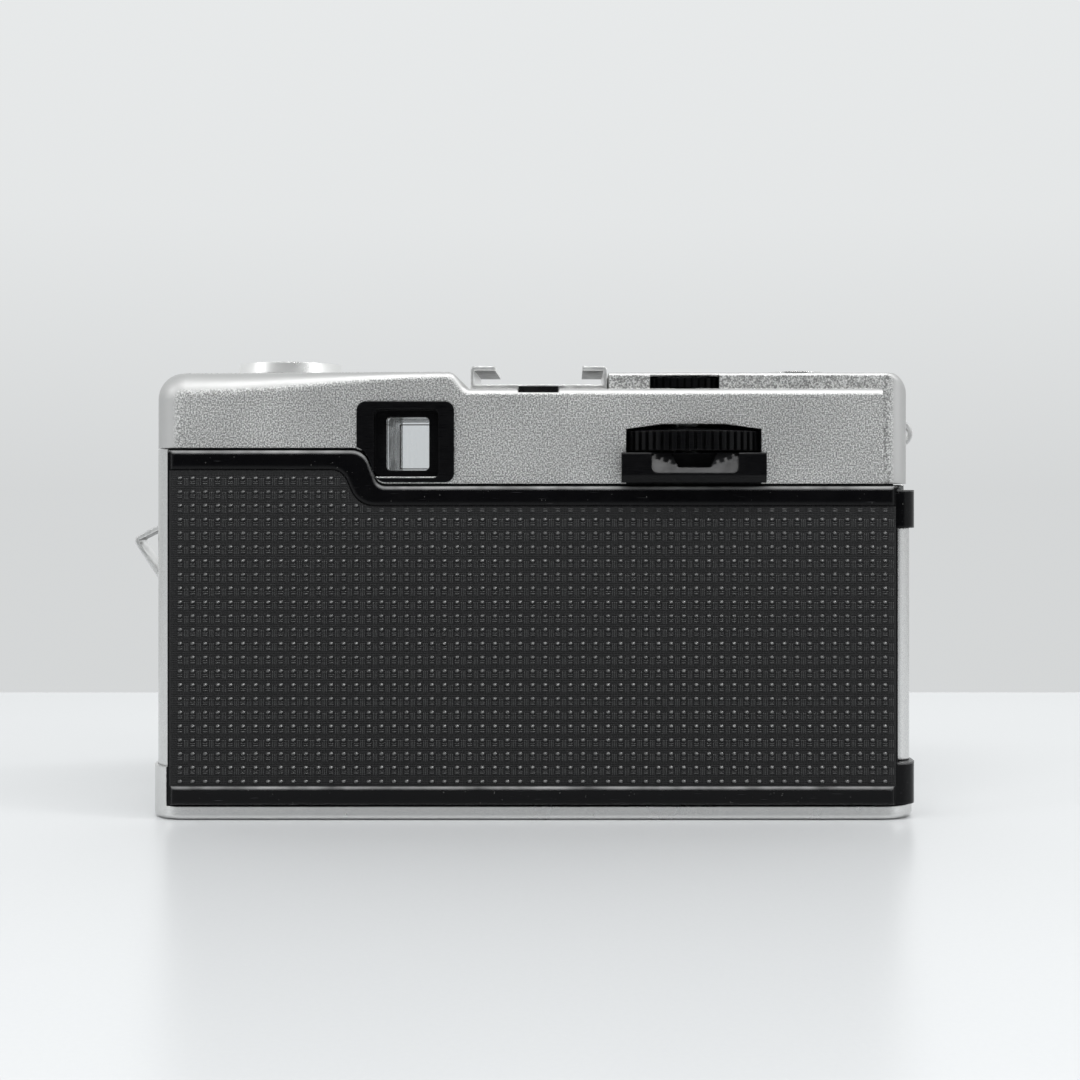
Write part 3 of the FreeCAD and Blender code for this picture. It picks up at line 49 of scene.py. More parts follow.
# ---------------------------------------------------------------- materials
class Finish:
    """One procedural material, with short ways to add the nodes that the finishes share.
    Places come from object coordinates, which are metres in the camera's own frame."""

    def __init__(self, name, colour, roughness, metallic=0.0, **more):
        self.material = bpy.data.materials.new(name)
        self.material.use_nodes = True
        self.tree = self.material.node_tree
        self.surface = self.tree.nodes["Principled BSDF"]
        self.place = self.add("ShaderNodeTexCoord").outputs["Object"]
        self.set("Base Color", (*colour, 1.0))
        self.set("Roughness", roughness)
        self.set("Metallic", metallic)
        for socket, value in more.items():
            self.set(socket.replace("_", " "), value)

    def add(self, kind, **inputs):
        made = self.tree.nodes.new(kind)
        for socket, value in inputs.items():
            made.inputs[socket].default_value = value
        return made

    def set(self, socket, value):
        self.surface.inputs[socket].default_value = value

    def link(self, output, target):
        self.tree.links.new(output, target)

    def stretched(self, stretch):
        mapping = self.add("ShaderNodeMapping")
        mapping.inputs["Scale"].default_value = [1.0 / s for s in stretch]
        self.link(self.place, mapping.inputs["Vector"])
        return mapping.outputs["Vector"]

    def noise(self, grain, detail=2.0, stretch=(1, 1, 1), roughness=0.5):
        """Noise with grains about so many metres across, longer along the axes that are stretched."""
        made = self.add("ShaderNodeTexNoise", Scale=1.0 / grain, Detail=detail, Roughness=roughness)
        self.link(self.stretched(stretch), made.inputs["Vector"])
        return made.outputs["Fac"]

    def wave(self, pitch, axis, distortion=0.0):
        made = self.add("ShaderNodeTexWave", Scale=math.pi / 10.0 / pitch, Distortion=distortion)
        made.bands_direction = axis
        self.link(self.place, made.inputs["Vector"])
        return made.outputs["Fac"]

    def level(self, value, low, high, dark, light):
        """A value's range low to high, drawn out to dark to light."""
        made = self.add("ShaderNodeMapRange")
        for socket, number in (("From Min", low), ("From Max", high), ("To Min", dark), ("To Max", light)):
            made.inputs[socket].default_value = number
        self.link(value, made.inputs["Value"])
        return made.outputs["Result"]

    def blend(self, share, dark, light):
        """A colour between two colours; either may be another node's output."""
        made = self.add("ShaderNodeMix")
        made.data_type = "RGBA"
        self.link(share, made.inputs["Factor"])
        for socket, colour in ((6, dark), (7, light)):
            if isinstance(colour, tuple):
                made.inputs[socket].default_value = (*colour, 1.0)
            else:
                self.link(colour, made.inputs[socket])
        return made.outputs[2]

    def rounded(self, radius):
        """Edges that catch the light as if they were rounded to a radius."""
        made = self.add("ShaderNodeBevel", Radius=radius)
        made.samples = 4
        return made.outputs["Normal"]

    def parts_of(self, vector):
        made = self.add("ShaderNodeSeparateXYZ")
        self.link(vector, made.inputs["Vector"])
        return made.outputs

    def math(self, operation, first, second):
        made = self.add("ShaderNodeMath")
        made.operation = operation
        self.link(first, made.inputs[0])
        self.link(second, made.inputs[1])
        return made.outputs["Value"]

    def facing(self):
        """The face's own direction, in the piece's own frame."""
        return self.add("ShaderNodeTexCoord").outputs["Normal"]

    def flatness(self):
        """1 where a face looks along an axis, 0 on the roundings between."""
        size = self.add("ShaderNodeVectorMath")
        size.operation = "ABSOLUTE"
        self.link(self.facing(), size.inputs[0])
        x, y, z = self.parts_of(size.outputs["Vector"])
        most = self.math("MAXIMUM", self.math("MAXIMUM", x, y), z)
        return self.level(most, 0.93, 0.985, 0.0, 1.0)

    def painted_edge_highlight(self, rounded):
        """1 along the edges that look up, 0 on level and upright faces: a painted highlight where light
        from above would catch them, broken up in patches."""
        up = self.parts_of(rounded)["Z"]
        not_upright = self.level(up, 0.15, 0.4, 0.0, 1.0)
        not_level = self.level(up, 0.98, 0.9, 0.0, 1.0)
        # Painted highlight, made patchy so that it does not run evenly along the edge.
        highlight_patches = self.level(self.noise(5 * MM, 2.0), 0.35, 0.65, 0.3, 1.0)
        return self.math("MULTIPLY", self.math("MULTIPLY", not_upright, not_level), highlight_patches)

    def relief(self, height, depth, under=None):
        """Relief of a real depth in metres, over another normal if there is one."""
        made = self.add("ShaderNodeBump", Strength=1.0, Distance=depth)
        self.link(height, made.inputs["Height"])
        if under is not None:
            self.link(under, made.inputs["Normal"])
        return made.outputs["Normal"]

    def finish(self, colour=None, roughness=None, normal=None):
        for socket, output in (("Base Color", colour), ("Roughness", roughness), ("Normal", normal)):
            if output is not None:
                self.link(output, self.surface.inputs[socket])
        return self.material


def pearl_silver():
    """Satin silver plating over a blasted surface, with a fine granular sparkle, polished on
    its rounded edges."""
    made = Finish("pearl_silver", (0.62, 0.62, 0.61), 0.34, 1.0)
    grain = made.noise(0.22 * MM, 1.5, roughness=0.6)
    fine = made.noise(0.1 * MM, 1.0)
    cloud = made.noise(9 * MM, 3.0)
    speckle = made.level(grain, 0.40, 0.62, 0.0, 1.0)
    speckled = made.blend(speckle, (0.34, 0.34, 0.335), (0.98, 0.98, 0.97))
    flat = made.flatness()
    colour = made.blend(flat, (0.56, 0.56, 0.555), speckled)
    rough = made.level(cloud, 0.3, 0.7, 0.44, 0.52)
    coarse = made.relief(made.math("MULTIPLY", grain, flat), 0.03 * MM, made.rounded(0.25 * MM))
    return made.finish(colour, rough, made.relief(fine, 0.006 * MM, coarse))


def satin_silver():
    """The finer satin plating of the shell, bottom plate and lens rings."""
    made = Finish("satin_silver", (0.66, 0.66, 0.655), 0.24, 1.0)
    grain = made.noise(0.12 * MM, 1.0)
    smudge = made.noise(7 * MM, 1.5)
    hairline = made.noise(0.09 * MM, 2.0, stretch=(60, 60, 1))
    colour = made.blend(made.level(grain, 0.3, 0.7, 0.0, 1.0), (0.58, 0.58, 0.575), (0.74, 0.74, 0.735))
    rough = made.level(smudge, 0.2, 0.8, 0.22, 0.3)
    lines = made.relief(hairline, 0.0012 * MM, made.rounded(0.2 * MM))
    return made.finish(colour, rough, made.relief(grain, 0.003 * MM, lines))


def bright_chrome():
    made = Finish("bright_chrome", (0.80, 0.80, 0.79), 0.10, 1.0)
    smudge = made.noise(2.5 * MM, 1.5)
    scuff = made.noise(0.12 * MM, 2.0, stretch=(1, 25, 1))
    rough = made.level(smudge, 0.2, 0.8, 0.08, 0.18)
    return made.finish(None, rough, made.relief(scuff, 0.0008 * MM, made.rounded(0.15 * MM)))


def spun_silver():
    """The rewind knob: turned, so its grain runs in rings about its own axis."""
    made = Finish("spun_silver", (0.88, 0.88, 0.87), 0.3, 1.0)
    made.set("Anisotropic", 0.4)
    hairline = made.noise(0.06 * MM, 2.0, stretch=(30, 30, 1))
    rough = made.level(made.noise(3 * MM, 3.0), 0.3, 0.7, 0.25, 0.4)
    return made.finish(None, rough, made.relief(hairline, 0.0015 * MM, made.rounded(0.15 * MM)))


def plated_silver():
    """Satin plating over soft bent edges, as on the shoe and the latch tab, with painted shade on the faces
    that look down.
    """
    made = Finish("plated_silver", (0.95, 0.95, 0.94), 0.38, 1.0)
    smudge = made.noise(1.5 * MM, 1.5)
    draw = made.noise(0.08 * MM, 2.0, stretch=(1, 30, 1))
    rough = made.level(smudge, 0.35, 0.7, 0.32, 0.46)
    # Painted shade: faces that look down are painted dark grey.
    under = made.level(made.parts_of(made.facing())["Z"], -0.5, -0.1, 0.0, 1.0)
    colour = made.blend(under, (0.2, 0.2, 0.2), (0.97, 0.97, 0.96))
    return made.finish(colour, rough, made.relief(draw, 0.002 * MM, made.rounded(0.3 * MM)))


def glossy_plastic():
    """Glossy moulded black with fine handling marks."""
    made = Finish("glossy_plastic", (0.0035, 0.0035, 0.004), 0.16, Specular_IOR_Level=0.12)
    haze = made.level(made.noise(2 * MM, 4.0), 0.35, 0.7, 0.12, 0.26)
    mark = made.noise(0.05 * MM, 1.0, stretch=(40, 1, 3))
    rounded = made.rounded(0.25 * MM)
    black = made.blend(made.level(mark, 0.3, 0.7, 0.0, 1.0), (0.003, 0.003, 0.0035), (0.006, 0.006, 0.0065))
    # Painted highlight: the edges that look up are painted a lighter black.
    colour = made.blend(made.painted_edge_highlight(rounded), black, (0.022, 0.022, 0.023))
    return made.finish(colour, haze, made.relief(mark, 0.0006 * MM, rounded))


def brushed_steel():
    made = Finish("brushed_steel", (0.55, 0.55, 0.55), 0.3, 1.0)
    line = made.noise(0.08 * MM, 2.0, stretch=(40, 1, 1))
    colour = made.blend(made.level(line, 0.3, 0.7, 0.0, 1.0), (0.46, 0.46, 0.46), (0.6, 0.6, 0.6))
    return made.finish(colour, made.level(line, 0.3, 0.7, 0.24, 0.4), made.relief(line, 0.002 * MM))


def gloss_enamel():
    """Thick gloss black enamel with a slight ripple, fine scratches, specks of dust, and a painted
    highlight along its upper edges.
    """
    made = Finish("gloss_enamel", (0.003, 0.003, 0.0035), 0.1, Specular_IOR_Level=0.16)
    ripple = made.noise(4 * MM, 2.0)
    scratch = made.noise(0.05 * MM, 1.0, stretch=(70, 1, 4))
    dust = made.noise(0.35 * MM, 1.0)
    worn = made.level(scratch, 0.70, 0.76, 0.0, 1.0)
    specks = made.level(dust, 0.77, 0.8, 0.0, 1.0)
    black = made.blend(worn, (0.003, 0.003, 0.0035), (0.03, 0.03, 0.032))
    dusty = made.blend(specks, black, (0.12, 0.12, 0.115))
    rounded = made.rounded(0.5 * MM)
    # Painted highlight: the edges that look up are painted light grey.
    colour = made.blend(made.painted_edge_highlight(rounded), dusty, (0.36, 0.36, 0.36))
    rough = made.level(made.noise(3 * MM, 4.0), 0.35, 0.7, 0.08, 0.2)
    smooth = made.relief(ripple, 0.012 * MM, rounded)
    return made.finish(colour, rough, made.relief(scratch, 0.0006 * MM, smooth))


def satin_enamel():
    made = Finish("satin_enamel", (0.006, 0.006, 0.0065), 0.36, Specular_IOR_Level=0.35)
    grain = made.noise(0.15 * MM, 2.0)
    wear = made.level(made.noise(0.5 * MM, 5.0), 0.62, 0.72, 0.0, 1.0)
    colour = made.blend(wear, (0.005, 0.005, 0.0055), (0.022, 0.022, 0.023))
    rough = made.level(grain, 0.3, 0.7, 0.3, 0.46)
    return made.finish(colour, rough, made.relief(grain, 0.004 * MM, made.rounded(0.1 * MM)))


def moulded_black():
    made = Finish("moulded_black", (0.004, 0.004, 0.0045), 0.3, Specular_IOR_Level=0.35)
    grain = made.noise(0.25 * MM, 3.0)
    rough = made.level(made.noise(2.5 * MM, 3.0), 0.3, 0.7, 0.2, 0.36)
    return made.finish(None, rough, made.relief(grain, 0.004 * MM, made.rounded(0.08 * MM)))


def leather(name, colour, shine, gloss, weave):
    """Embossed black leatherette: a thread-like weave, pores, and dust in its hollows."""
    made = Finish(name, colour, 0.5, Specular_IOR_Level=gloss)
    across = made.wave(0.225 * MM, "X", 0.3)
    up = made.wave(0.255 * MM, "Z", 0.3)
    pores = made.noise(0.09 * MM, 3.0)
    patches = made.noise(12 * MM, 3.0)
    grey = tuple(1.9 * c for c in colour)
    worn = made.blend(made.level(patches, 0.35, 0.7, 0.0, 1.0), colour, grey)
    colours = made.blend(made.level(pores, 0.35, 0.7, 0.0, 1.0), worn, tuple(1.3 * c for c in grey))
    rough = made.level(patches, 0.3, 0.7, shine, shine + 0.12)
    woven = made.relief(up, weave, made.relief(across, weave))
    return made.finish(colours, rough, made.relief(pores, 0.3 * weave, woven))


def cast_alloy():
    """Die-cast alloy with a flat black paint inside, rough from the mould."""
    made = Finish("cast_alloy", (0.02, 0.02, 0.021), 0.6)
    grain = made.noise(0.3 * MM, 4.0)
    chip = made.level(made.noise(1.2 * MM, 5.0), 0.68, 0.72, 0.0, 1.0)
    colour = made.blend(chip, (0.014, 0.014, 0.015), (0.09, 0.09, 0.092))
    return made.finish(colour, made.level(grain, 0.3, 0.7, 0.5, 0.72), made.relief(grain, 0.02 * MM))


def light_foam():
    made = Finish("light_foam", (0.012, 0.012, 0.012), 0.95)
    cells = made.noise(0.3 * MM, 5.0, roughness=0.75)
    colour = made.blend(made.level(cells, 0.4, 0.7, 0.0, 1.0), (0.006, 0.006, 0.006), (0.04, 0.04, 0.038))
    return made.finish(colour, None, made.relief(cells, 0.1 * MM))


def coated_glass():
    """Optical glass with one layer of coating, which gives its faint violet shine."""
    made = Finish("coated_glass", (0.97, 0.98, 0.98), 0.0, Transmission_Weight=1.0, IOR=1.52)
    made.set("Thin Film Thickness", 380.0)
    made.set("Thin Film IOR", 1.38)
    smudge = made.noise(2.5 * MM, 4.0)
    return made.finish(None, made.level(smudge, 0.5, 0.8, 0.0, 0.05))


def clear_plastic():
    made = Finish("clear_plastic", (0.93, 0.95, 0.94), 0.03, Transmission_Weight=1.0, IOR=1.49)
    swirl = made.noise(0.06 * MM, 1.0, stretch=(30, 30, 30))
    rough = made.level(made.noise(1.5 * MM, 4.0), 0.45, 0.75, 0.02, 0.09)
    return made.finish(None, rough, made.relief(swirl, 0.0005 * MM))


def selenium():
    """Grey selenium with the fine printed lines of its collecting grid."""
    made = Finish("selenium", (0.10, 0.085, 0.085), 0.38, 0.4)
    grid = made.level(made.wave(0.9 * MM, "X"), 0.93, 0.98, 0.0, 1.0)
    cloud = made.noise(1.5 * MM, 3.0)
    base = made.blend(made.level(cloud, 0.3, 0.7, 0.0, 1.0), (0.07, 0.055, 0.06), (0.14, 0.11, 0.115))
    return made.finish(made.blend(grid, base, (0.3, 0.27, 0.2)), made.level(cloud, 0.3, 0.7, 0.3, 0.5))


def paint(name, colour):
    """A thick pale paint, slightly uneven."""
    made = Finish(name, colour, 0.5)
    grain = made.noise(0.12 * MM, 2.0)
    darker = tuple(0.8 * c for c in colour)
    colours = made.blend(made.level(grain, 0.3, 0.7, 0.0, 1.0), darker, colour)
    return made.finish(colours, None, made.relief(grain, 0.004 * MM))


def machined_brass():
    made = Finish("machined_brass", (0.70, 0.52, 0.25), 0.25, 1.0)
    line = made.noise(0.06 * MM, 2.0, stretch=(20, 20, 1))
    tarnish = made.level(made.noise(1.5 * MM, 4.0), 0.4, 0.7, 0.0, 1.0)
    colour = made.blend(tarnish, (0.74, 0.56, 0.28), (0.45, 0.32, 0.15))
    return made.finish(colour, made.level(line, 0.3, 0.7, 0.2, 0.36), made.relief(line, 0.002 * MM))


PEARL = pearl_silver()
SPUN = spun_silver()
LEATHER = leather("leather_ground", (0.004, 0.004, 0.0043), 0.45, 0.28, 0.05 * MM)
PIPS = leather("leather_pips", (0.008, 0.008, 0.0083), 0.24, 1.0, 0.006 * MM)
WHITE = paint("figure_white", (0.75, 0.75, 0.72))
BLACK = paint("figure_black", (0.02, 0.02, 0.02))
RED = paint("figure_red", (0.45, 0.03, 0.02))
PLASTIC = clear_plastic()
FINISHES = {
    "silver_cover": PEARL,
    "silver_body": satin_silver(),
    "bright_chrome": bright_chrome(),
    "steel": brushed_steel(),
    "gloss_black": gloss_enamel(),
    "satin_black": satin_enamel(),
    "black_plastic": moulded_black(),
    "leatherette": LEATHER,
    "cast_alloy": cast_alloy(),
    "foam": light_foam(),
    "glass": coated_glass(),
    "smoke_plastic": PLASTIC,
    "cell": selenium(),
    "line_white": WHITE,
    "brass": machined_brass(),
}

# Nodes with a finish of their own, in place of their slot's.
PLATED = plated_silver()
GLOSSY = glossy_plastic()
OWN_FINISH = {
    "rewind_knob": SPUN,
    "hot_shoe": PLATED,
    "latch_tab": PLATED,
    "strap_eyelet": PLATED,
    "advance_wheel": GLOSSY,
    "counter_dial": GLOSSY,
    "wheel_guard": GLOSSY,
    "eyepiece_surround": GLOSSY,
}


def dress(piece, material):
    for slot in piece.material_slots:
        slot.material = material


def dress_frame():
    """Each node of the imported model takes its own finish, or else that of its slot in the record."""
    for name, piece in frame["nodes"].items():
        dress(piece, FINISHES[SLOT_OF[name]])
    for name, finish in OWN_FINISH.items():
        dress(frame["nodes"][name], finish)


# ---------------------------------------------------------------- pieces
def new_piece(name, corners, faces, body, material):
    """A smooth-shaded mesh piece that rides on a body."""
    mesh = bpy.data.meshes.new(name)
    mesh.from_pydata(corners, [], faces)
    mesh.polygons.foreach_set("use_smooth", [True] * len(mesh.polygons))
    mesh.materials.append(material)
    piece = bpy.data.objects.new(name, mesh)
    bpy.context.scene.collection.objects.link(piece)
    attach(piece, body)
    return piece


def surface_of(node):
    mesh = frame["nodes"][node].data
    return BVHTree.FromPolygons([v.co for v in mesh.vertices], [p.vertices for p in mesh.polygons])


class Emboss:
    """Small raised shapes on a flat face that looks along -Y (side -1) or +Y (side 1)."""

    SINK = 0.03 * MM

    def __init__(self, side):
        self.side = side
        self.corners = []
        self.faces = []

    def ring(self, x, y, z, half_x, half_z, rise, count):
        """A ring of points round a centre. Returns the first point's number."""
        first = len(self.corners)
        for i in range(count):
            turn = self.side * math.tau * (i + 0.5) / count
            place = (x + half_x * math.cos(turn), y + self.side * rise, z - half_z * math.sin(turn))
            self.corners.append(place)
        return first

    def join(self, low, high, count):
        for i in range(count):
            j = (i + 1) % count
            self.faces.append((low + i, low + j, high + j, high + i))

    def pip(self, x, y, z, half_x, half_z, rise, count=12):
        """A pip with a gentle slope above its crown and a steep one below."""
        foot = self.ring(x, y, z, half_x, half_z, -self.SINK, count)
        middle = self.ring(x, y, z - 0.25 * half_z, 0.7 * half_x, 0.62 * half_z, 0.5 * rise, count)
        crown = self.ring(x, y, z - 0.5 * half_z, 0.4 * half_x, 0.28 * half_z, 0.97 * rise, count)
        self.join(foot, middle, count)
        self.join(middle, crown, count)
        self.cap(crown, (x, y + self.side * rise, z - 0.5 * half_z), count)

    def cap(self, crown, tip, count):
        last = len(self.corners)
        self.corners.append(tip)
        self.faces.extend((crown + i, crown + (i + 1) % count, last) for i in range(count))

    def dome(self, x, y, z, half_x, half_z, rise, count=10):
        """A rounded bump: a foot below the face, a shoulder, a crown and a tip."""
        foot = self.ring(x, y, z, half_x, half_z, -self.SINK, count)
        shoulder = self.ring(x, y, z, 0.82 * half_x, 0.82 * half_z, 0.6 * rise, count)
        crown = self.ring(x, y, z, 0.45 * half_x, 0.45 * half_z, 0.93 * rise, count)
        self.join(foot, shoulder, count)
        self.join(shoulder, crown, count)
        self.cap(crown, (x, y + self.side * rise, z), count)


COLUMN_PITCH = 1.79 * MM
ROW_PITCH = 1.96 * MM


def leather_cells(low, high):
    """The places of the pattern's cells over a sheet of leatherette."""
    columns = int((high.x - low.x) / COLUMN_PITCH)
    rows = int((high.z - low.z) / ROW_PITCH) + 1
    start_x = (low.x + high.x - (columns - 1) * COLUMN_PITCH) / 2
    start_z = high.z - 0.55 * ROW_PITCH
    for row in range(rows):
        for column in range(columns):
            yield start_x + column * COLUMN_PITCH, start_z - row * ROW_PITCH


SHEET_RIM = 0.1 * MM
RAY_START = 5 * MM
SAME_FACE = 0.1 * MM


def fits(tree, x, z, half_x, half_z, outer, side):
    """Whether a shape of this size lies wholly on the sheet's outer face."""
    start = outer + side * RAY_START
    for corner_x in (x - half_x - SHEET_RIM, x + half_x + SHEET_RIM):
        for corner_z in (z - half_z - SHEET_RIM, z + half_z + SHEET_RIM):
            place, _, _, _ = tree.ray_cast(Vector((corner_x, start, corner_z)), Vector((0, -side, 0)))
            if place is None or abs(place.y - outer) > SAME_FACE:
                return False
    return True


# One cell of the leatherette, in mm: dashes under its pip and threads beside them, each with its
# place from the pip across and down, its half sizes and its rise.
BARS = (
    (0.0, -0.50, 0.40, 0.09, 0.07),
    (0.0, -0.80, 0.38, 0.12, 0.11),
    (0.655, -0.55, 0.075, 0.62, 0.07),
    (0.895, -0.55, 0.075, 0.62, 0.07),
    (1.135, -0.55, 0.075, 0.62, 0.07),
)
PIP = (0.36 * MM, 0.27 * MM)
PIP_RISE = 0.275 * MM
BAR_POINTS = 8


def build_leather(name, node, side, body):
    """The embossed pattern, cut off at the sheet's edges: rows of pips, each over two dashes, with
    upright threads between."""
    low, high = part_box(node)
    outer = low.y if side < 0 else high.y
    tree = surface_of(node)
    pattern = Emboss(side)
    for x, z in leather_cells(low, high):
        if fits(tree, x, z, *PIP, outer, side):
            pattern.pip(x, outer, z, *PIP, PIP_RISE)
        for bar in BARS:
            across, down, half_x, half_z, rise = (size * MM for size in bar)
            if fits(tree, x + across, z + down, half_x, half_z, outer, side):
                pattern.dome(x + across, outer, z + down, half_x, half_z, rise, BAR_POINTS)
    new_piece(name, pattern.corners, pattern.faces, body, PIPS)


BEAD_PITCH = 1.5 * MM
BEAD_ROW_PITCH = 0.866 * BEAD_PITCH
BEAD_R = 0.72 * MM
BEAD_RISE = 0.42 * MM
BEADS_FROM_R = 12.3 * MM
BEADS_INSIDE_RIM = 0.9 * MM


def build_cell_beads():
    """The clear window's lens beads: close-packed domes over the light cell."""
    low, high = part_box("cell_window")
    outer = (high.x - low.x) / 2 - BEADS_INSIDE_RIM
    beads = Emboss(1)
    rows = int(outer / BEAD_ROW_PITCH) + 1
    for row in range(-rows, rows + 1):
        z = row * BEAD_ROW_PITCH
        for column in range(-rows - 1, rows + 2):
            x = (column + 0.5 * (row % 2)) * BEAD_PITCH
            if BEADS_FROM_R < math.hypot(x, z) < outer:
                beads.dome(x, high.y, LENS_AXIS_Z + z, BEAD_R, BEAD_R, BEAD_RISE, 12)
    new_piece("cell_window_beads", beads.corners, beads.faces, "camera", PLASTIC)


# ---------------------------------------------------------------- figures
FIGURE_DEPTH = 0.03 * MM
RING_SINK = 0.01 * MM
APERTURE_STEP = 12.5
SPEED_STEP = 15.0
DIAL_FIGURES = 18
DIAL_FACE_BELOW_RIM = 0.35 * MM
DIAL_FIGURES_INSIDE_RIM = 2.4 * MM


def figure(name, text, size, place, body, material):
    """A painted figure, as a thin mesh: place takes its flat outline (x right, y up) to the camera."""
    curve = bpy.data.curves.new(name, "FONT")
    curve.body = text
    curve.size = size
    curve.align_x = "CENTER"
    curve.align_y = "CENTER"
    curve.extrude = FIGURE_DEPTH
    curve.resolution_u = 3
    shape = bpy.data.objects.new(name, curve)
    bpy.context.scene.collection.objects.link(shape)
    bpy.context.view_layer.update()
    mesh = bpy.data.meshes.new_from_object(shape)
    bpy.data.objects.remove(shape)
    mesh.transform(place)
    mesh.materials.clear()
    mesh.materials.append(material)
    piece = bpy.data.objects.new(name, mesh)
    bpy.context.scene.collection.objects.link(piece)
    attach(piece, body)
    return piece


def around_lens(radius, y, turn):
    """On a lens ring's outer side, turned clockwise from the top as seen from the front."""
    stand = Matrix.Translation((0, y, radius)) @ Matrix.Rotation(math.pi, 4, "Z")
    return Matrix.Translation((0, 0, LENS_AXIS_Z)) @ Matrix.Rotation(turn, 4, "Y") @ stand


def build_ring_figures():
    """Apertures and film speeds round the two lens rings."""
    low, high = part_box("aperture_ring")
    middle = (low.y + high.y) / 2
    for i, stop in enumerate(("2.8", "4", "5.6", "8", "11", "16", "22")):
        place = around_lens(high.x - RING_SINK, middle, math.radians(-APERTURE_STEP * i))
        figure(f"aperture_figure_{i}", stop, 2.1 * MM, place, "aperture", BLACK)
    low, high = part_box("film_speed_ring")
    middle = (low.y + high.y) / 2
    for i, speed in enumerate(("25", "50", "100", "200", "400")):
        place = around_lens(high.x - RING_SINK, middle, math.radians(-SPEED_STEP * i))
        figure(f"speed_figure_{i}", speed, 1.7 * MM, place, "film_speed", WHITE)


def build_dial_figures():
    """Frame counts on the counter's dial, inside its raised rim, every twelfth in red."""
    low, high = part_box("counter_dial")
    centre = (low + high) / 2
    face_z = high.z - DIAL_FACE_BELOW_RIM
    radius = (high.x - low.x) / 2 - DIAL_FIGURES_INSIDE_RIM
    for i in range(DIAL_FIGURES):
        turn = Matrix.Rotation(-math.tau * i / DIAL_FIGURES, 4, "Z")
        place = Matrix.Translation((centre.x, centre.y, face_z)) @ turn @ Matrix.Translation((0, radius, 0))
        text = str(4 * i) if i else "S"
        colour = RED if i % 3 == 0 else WHITE
        figure(f"frame_count_{i}", text, 1.6 * MM, place, "counter", colour)


# ---------------------------------------------------------------- stage, light and camera
def build_stage():
    """A pale, slightly glossy table with a far edge a little behind the camera."""
    made = Finish("table_top", (0.73, 0.74, 0.75), 0.27, Specular_IOR_Level=0.35)
    made.finish(made.blend(made.noise(0.6 * MM, 1.0), (0.72, 0.73, 0.74), (0.74, 0.75, 0.76)))
    mesh = bpy.data.meshes.new("table")
    reach, far_edge, top = 1.6, 0.135, -0.05 * MM
    corners = [(-reach, -reach, top), (reach, -reach, top), (reach, far_edge, top), (-reach, far_edge, top)]
    mesh.from_pydata(corners, [], [(0, 1, 2, 3)])
    mesh.materials.append(made.material)
    table = bpy.data.objects.new("table", mesh)
    bpy.context.scene.collection.objects.link(table)


# How bright the room is: by how far a direction points to +Y, and by how far it points up.
SWEEP = ((-1.0, 0.62), (0.0, 0.55), (0.4, 0.68), (1.0, 0.68))
OVERHEAD = ((-0.1, 0.62), (0.0, 0.68), (0.16, 0.80), (0.6, 0.88), (1.0, 0.80))


def build_world():
    """A bright sweep behind and over the camera, and a darker room on the viewer's side."""
    world = bpy.data.worlds.new("studio")
    world.use_nodes = True
    tree = world.node_tree
    background = tree.nodes["Background"]
    place = tree.nodes.new("ShaderNodeTexCoord").outputs["Generated"]
    parts = tree.nodes.new("ShaderNodeSeparateXYZ")
    tree.links.new(place, parts.inputs["Vector"])
    sweep = world_ramp(tree, parts.outputs["Y"], SWEEP)
    above = world_ramp(tree, parts.outputs["Z"], OVERHEAD)
    mix = tree.nodes.new("ShaderNodeMix")
    mix.data_type = "RGBA"
    mix.blend_type = "LIGHTEN"
    mix.inputs["Factor"].default_value = 1.0
    tree.links.new(sweep, mix.inputs[6])
    tree.links.new(above, mix.inputs[7])
    tree.links.new(mix.outputs[2], background.inputs["Color"])
    background.inputs["Strength"].default_value = 1.0
    bpy.context.scene.world = world


def world_ramp(tree, value, stops):
    """A grey that follows a direction's part along one axis, -1 to 1."""
    place = tree.nodes.new("ShaderNodeMapRange")
    place.inputs["From Min"].default_value = -1.0
    tree.links.new(value, place.inputs["Value"])
    ramp = tree.nodes.new("ShaderNodeValToRGB")
    marks = ramp.color_ramp.elements
    while len(marks) < len(stops):
        marks.new(0.5)
    for mark, (at, light) in zip(marks, stops):
        mark.position = (at + 1.0) / 2.0
        mark.color = (0.975 * light, 0.995 * light, light, 1.0)
    tree.links.new(place.outputs["Result"], ramp.inputs["Fac"])
    return ramp.outputs["Color"]


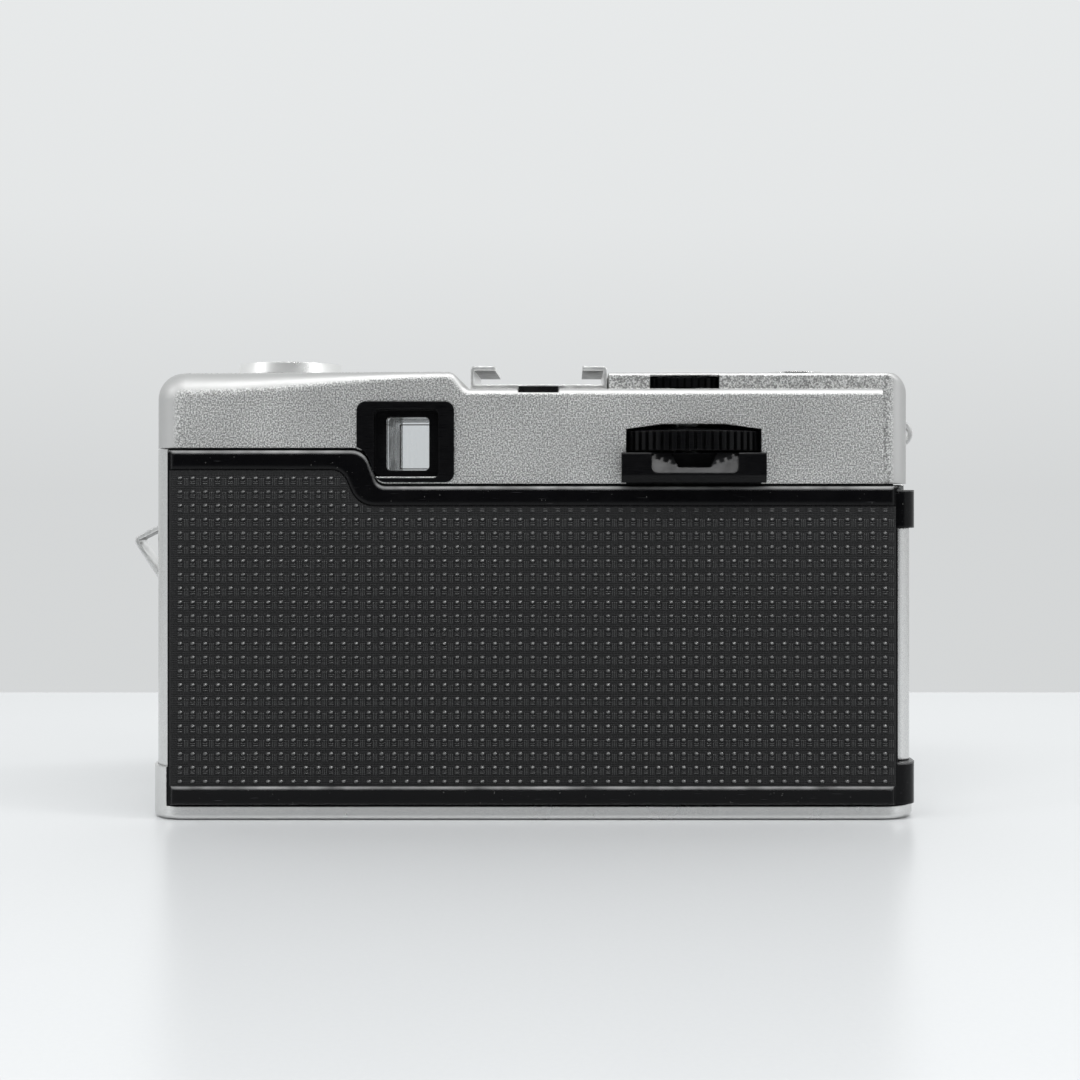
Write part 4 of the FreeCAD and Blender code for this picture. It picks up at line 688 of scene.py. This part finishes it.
def soft_light(name, place, aim, width, height, power):
    data = bpy.data.lights.new(name, "AREA")
    data.shape = "RECTANGLE"
    data.size = width
    data.size_y = height
    data.energy = power
    lamp = bpy.data.objects.new(name, data)
    lamp.location = place
    lamp.rotation_euler = (Vector(aim) - Vector(place)).to_track_quat("-Z", "Y").to_euler()
    bpy.context.scene.collection.objects.link(lamp)


def build_lights():
    middle = (0, 0, 0.03)
    soft_light("overhead_strip", (0.08, -0.22, 0.55), middle, 0.7, 0.06, 1.7)
    soft_light("left_strip", (-0.95, -0.45, 0.6), middle, 0.1, 0.5, 1.3)
    soft_light("right_strip", (0.95, -0.4, 0.55), middle, 0.1, 0.5, 1.4)


def build_flag():
    """A dark card on the viewer's side, as a studio has, so that the black parts reflect black.
    The eye does not see it."""
    made = Finish("flag_cloth", (0.02, 0.02, 0.02), 0.9)
    made.finish(made.blend(made.noise(4 * MM, 3.0), (0.015, 0.015, 0.015), (0.03, 0.03, 0.03)))
    near, low, high, half = -0.7, 0.0, 0.42, 0.75
    corners = [(-half, near, low), (half, near, low), (half, near - 0.15, high), (-half, near - 0.15, high)]
    mesh = bpy.data.meshes.new("flag")
    mesh.from_pydata(corners, [], [(0, 1, 2, 3)])
    mesh.materials.append(made.material)
    flag = bpy.data.objects.new("flag", mesh)
    flag.visible_camera = False
    bpy.context.scene.collection.objects.link(flag)


EYE = (5.6, -250.0, 47.0)
FOCAL_LENGTH = 55.2
SHIFT = (-0.0296, -0.0463)


def build_camera():
    """The eye is behind the camera, level, and a little below the top cover."""
    data = bpy.data.cameras.new("eye")
    data.sensor_width = 36.0
    data.lens = FOCAL_LENGTH
    data.shift_x, data.shift_y = SHIFT
    data.clip_start = 0.01
    bpy.context.scene.view_settings.view_transform = "Standard"
    eye = bpy.data.objects.new("eye", data)
    eye.location = Vector(EYE) * MM
    eye.rotation_euler = (math.pi / 2, 0, 0)
    bpy.context.scene.collection.objects.link(eye)
    bpy.context.scene.camera = eye


build_camera()
build_stage()
build_world()
build_lights()
build_flag()
dress_frame()
build_leather("door_pattern", "door_leatherette", -1, "back")
build_leather("front_pattern", "front_leatherette", 1, "camera")
build_cell_beads()
build_ring_figures()
build_dial_figures()
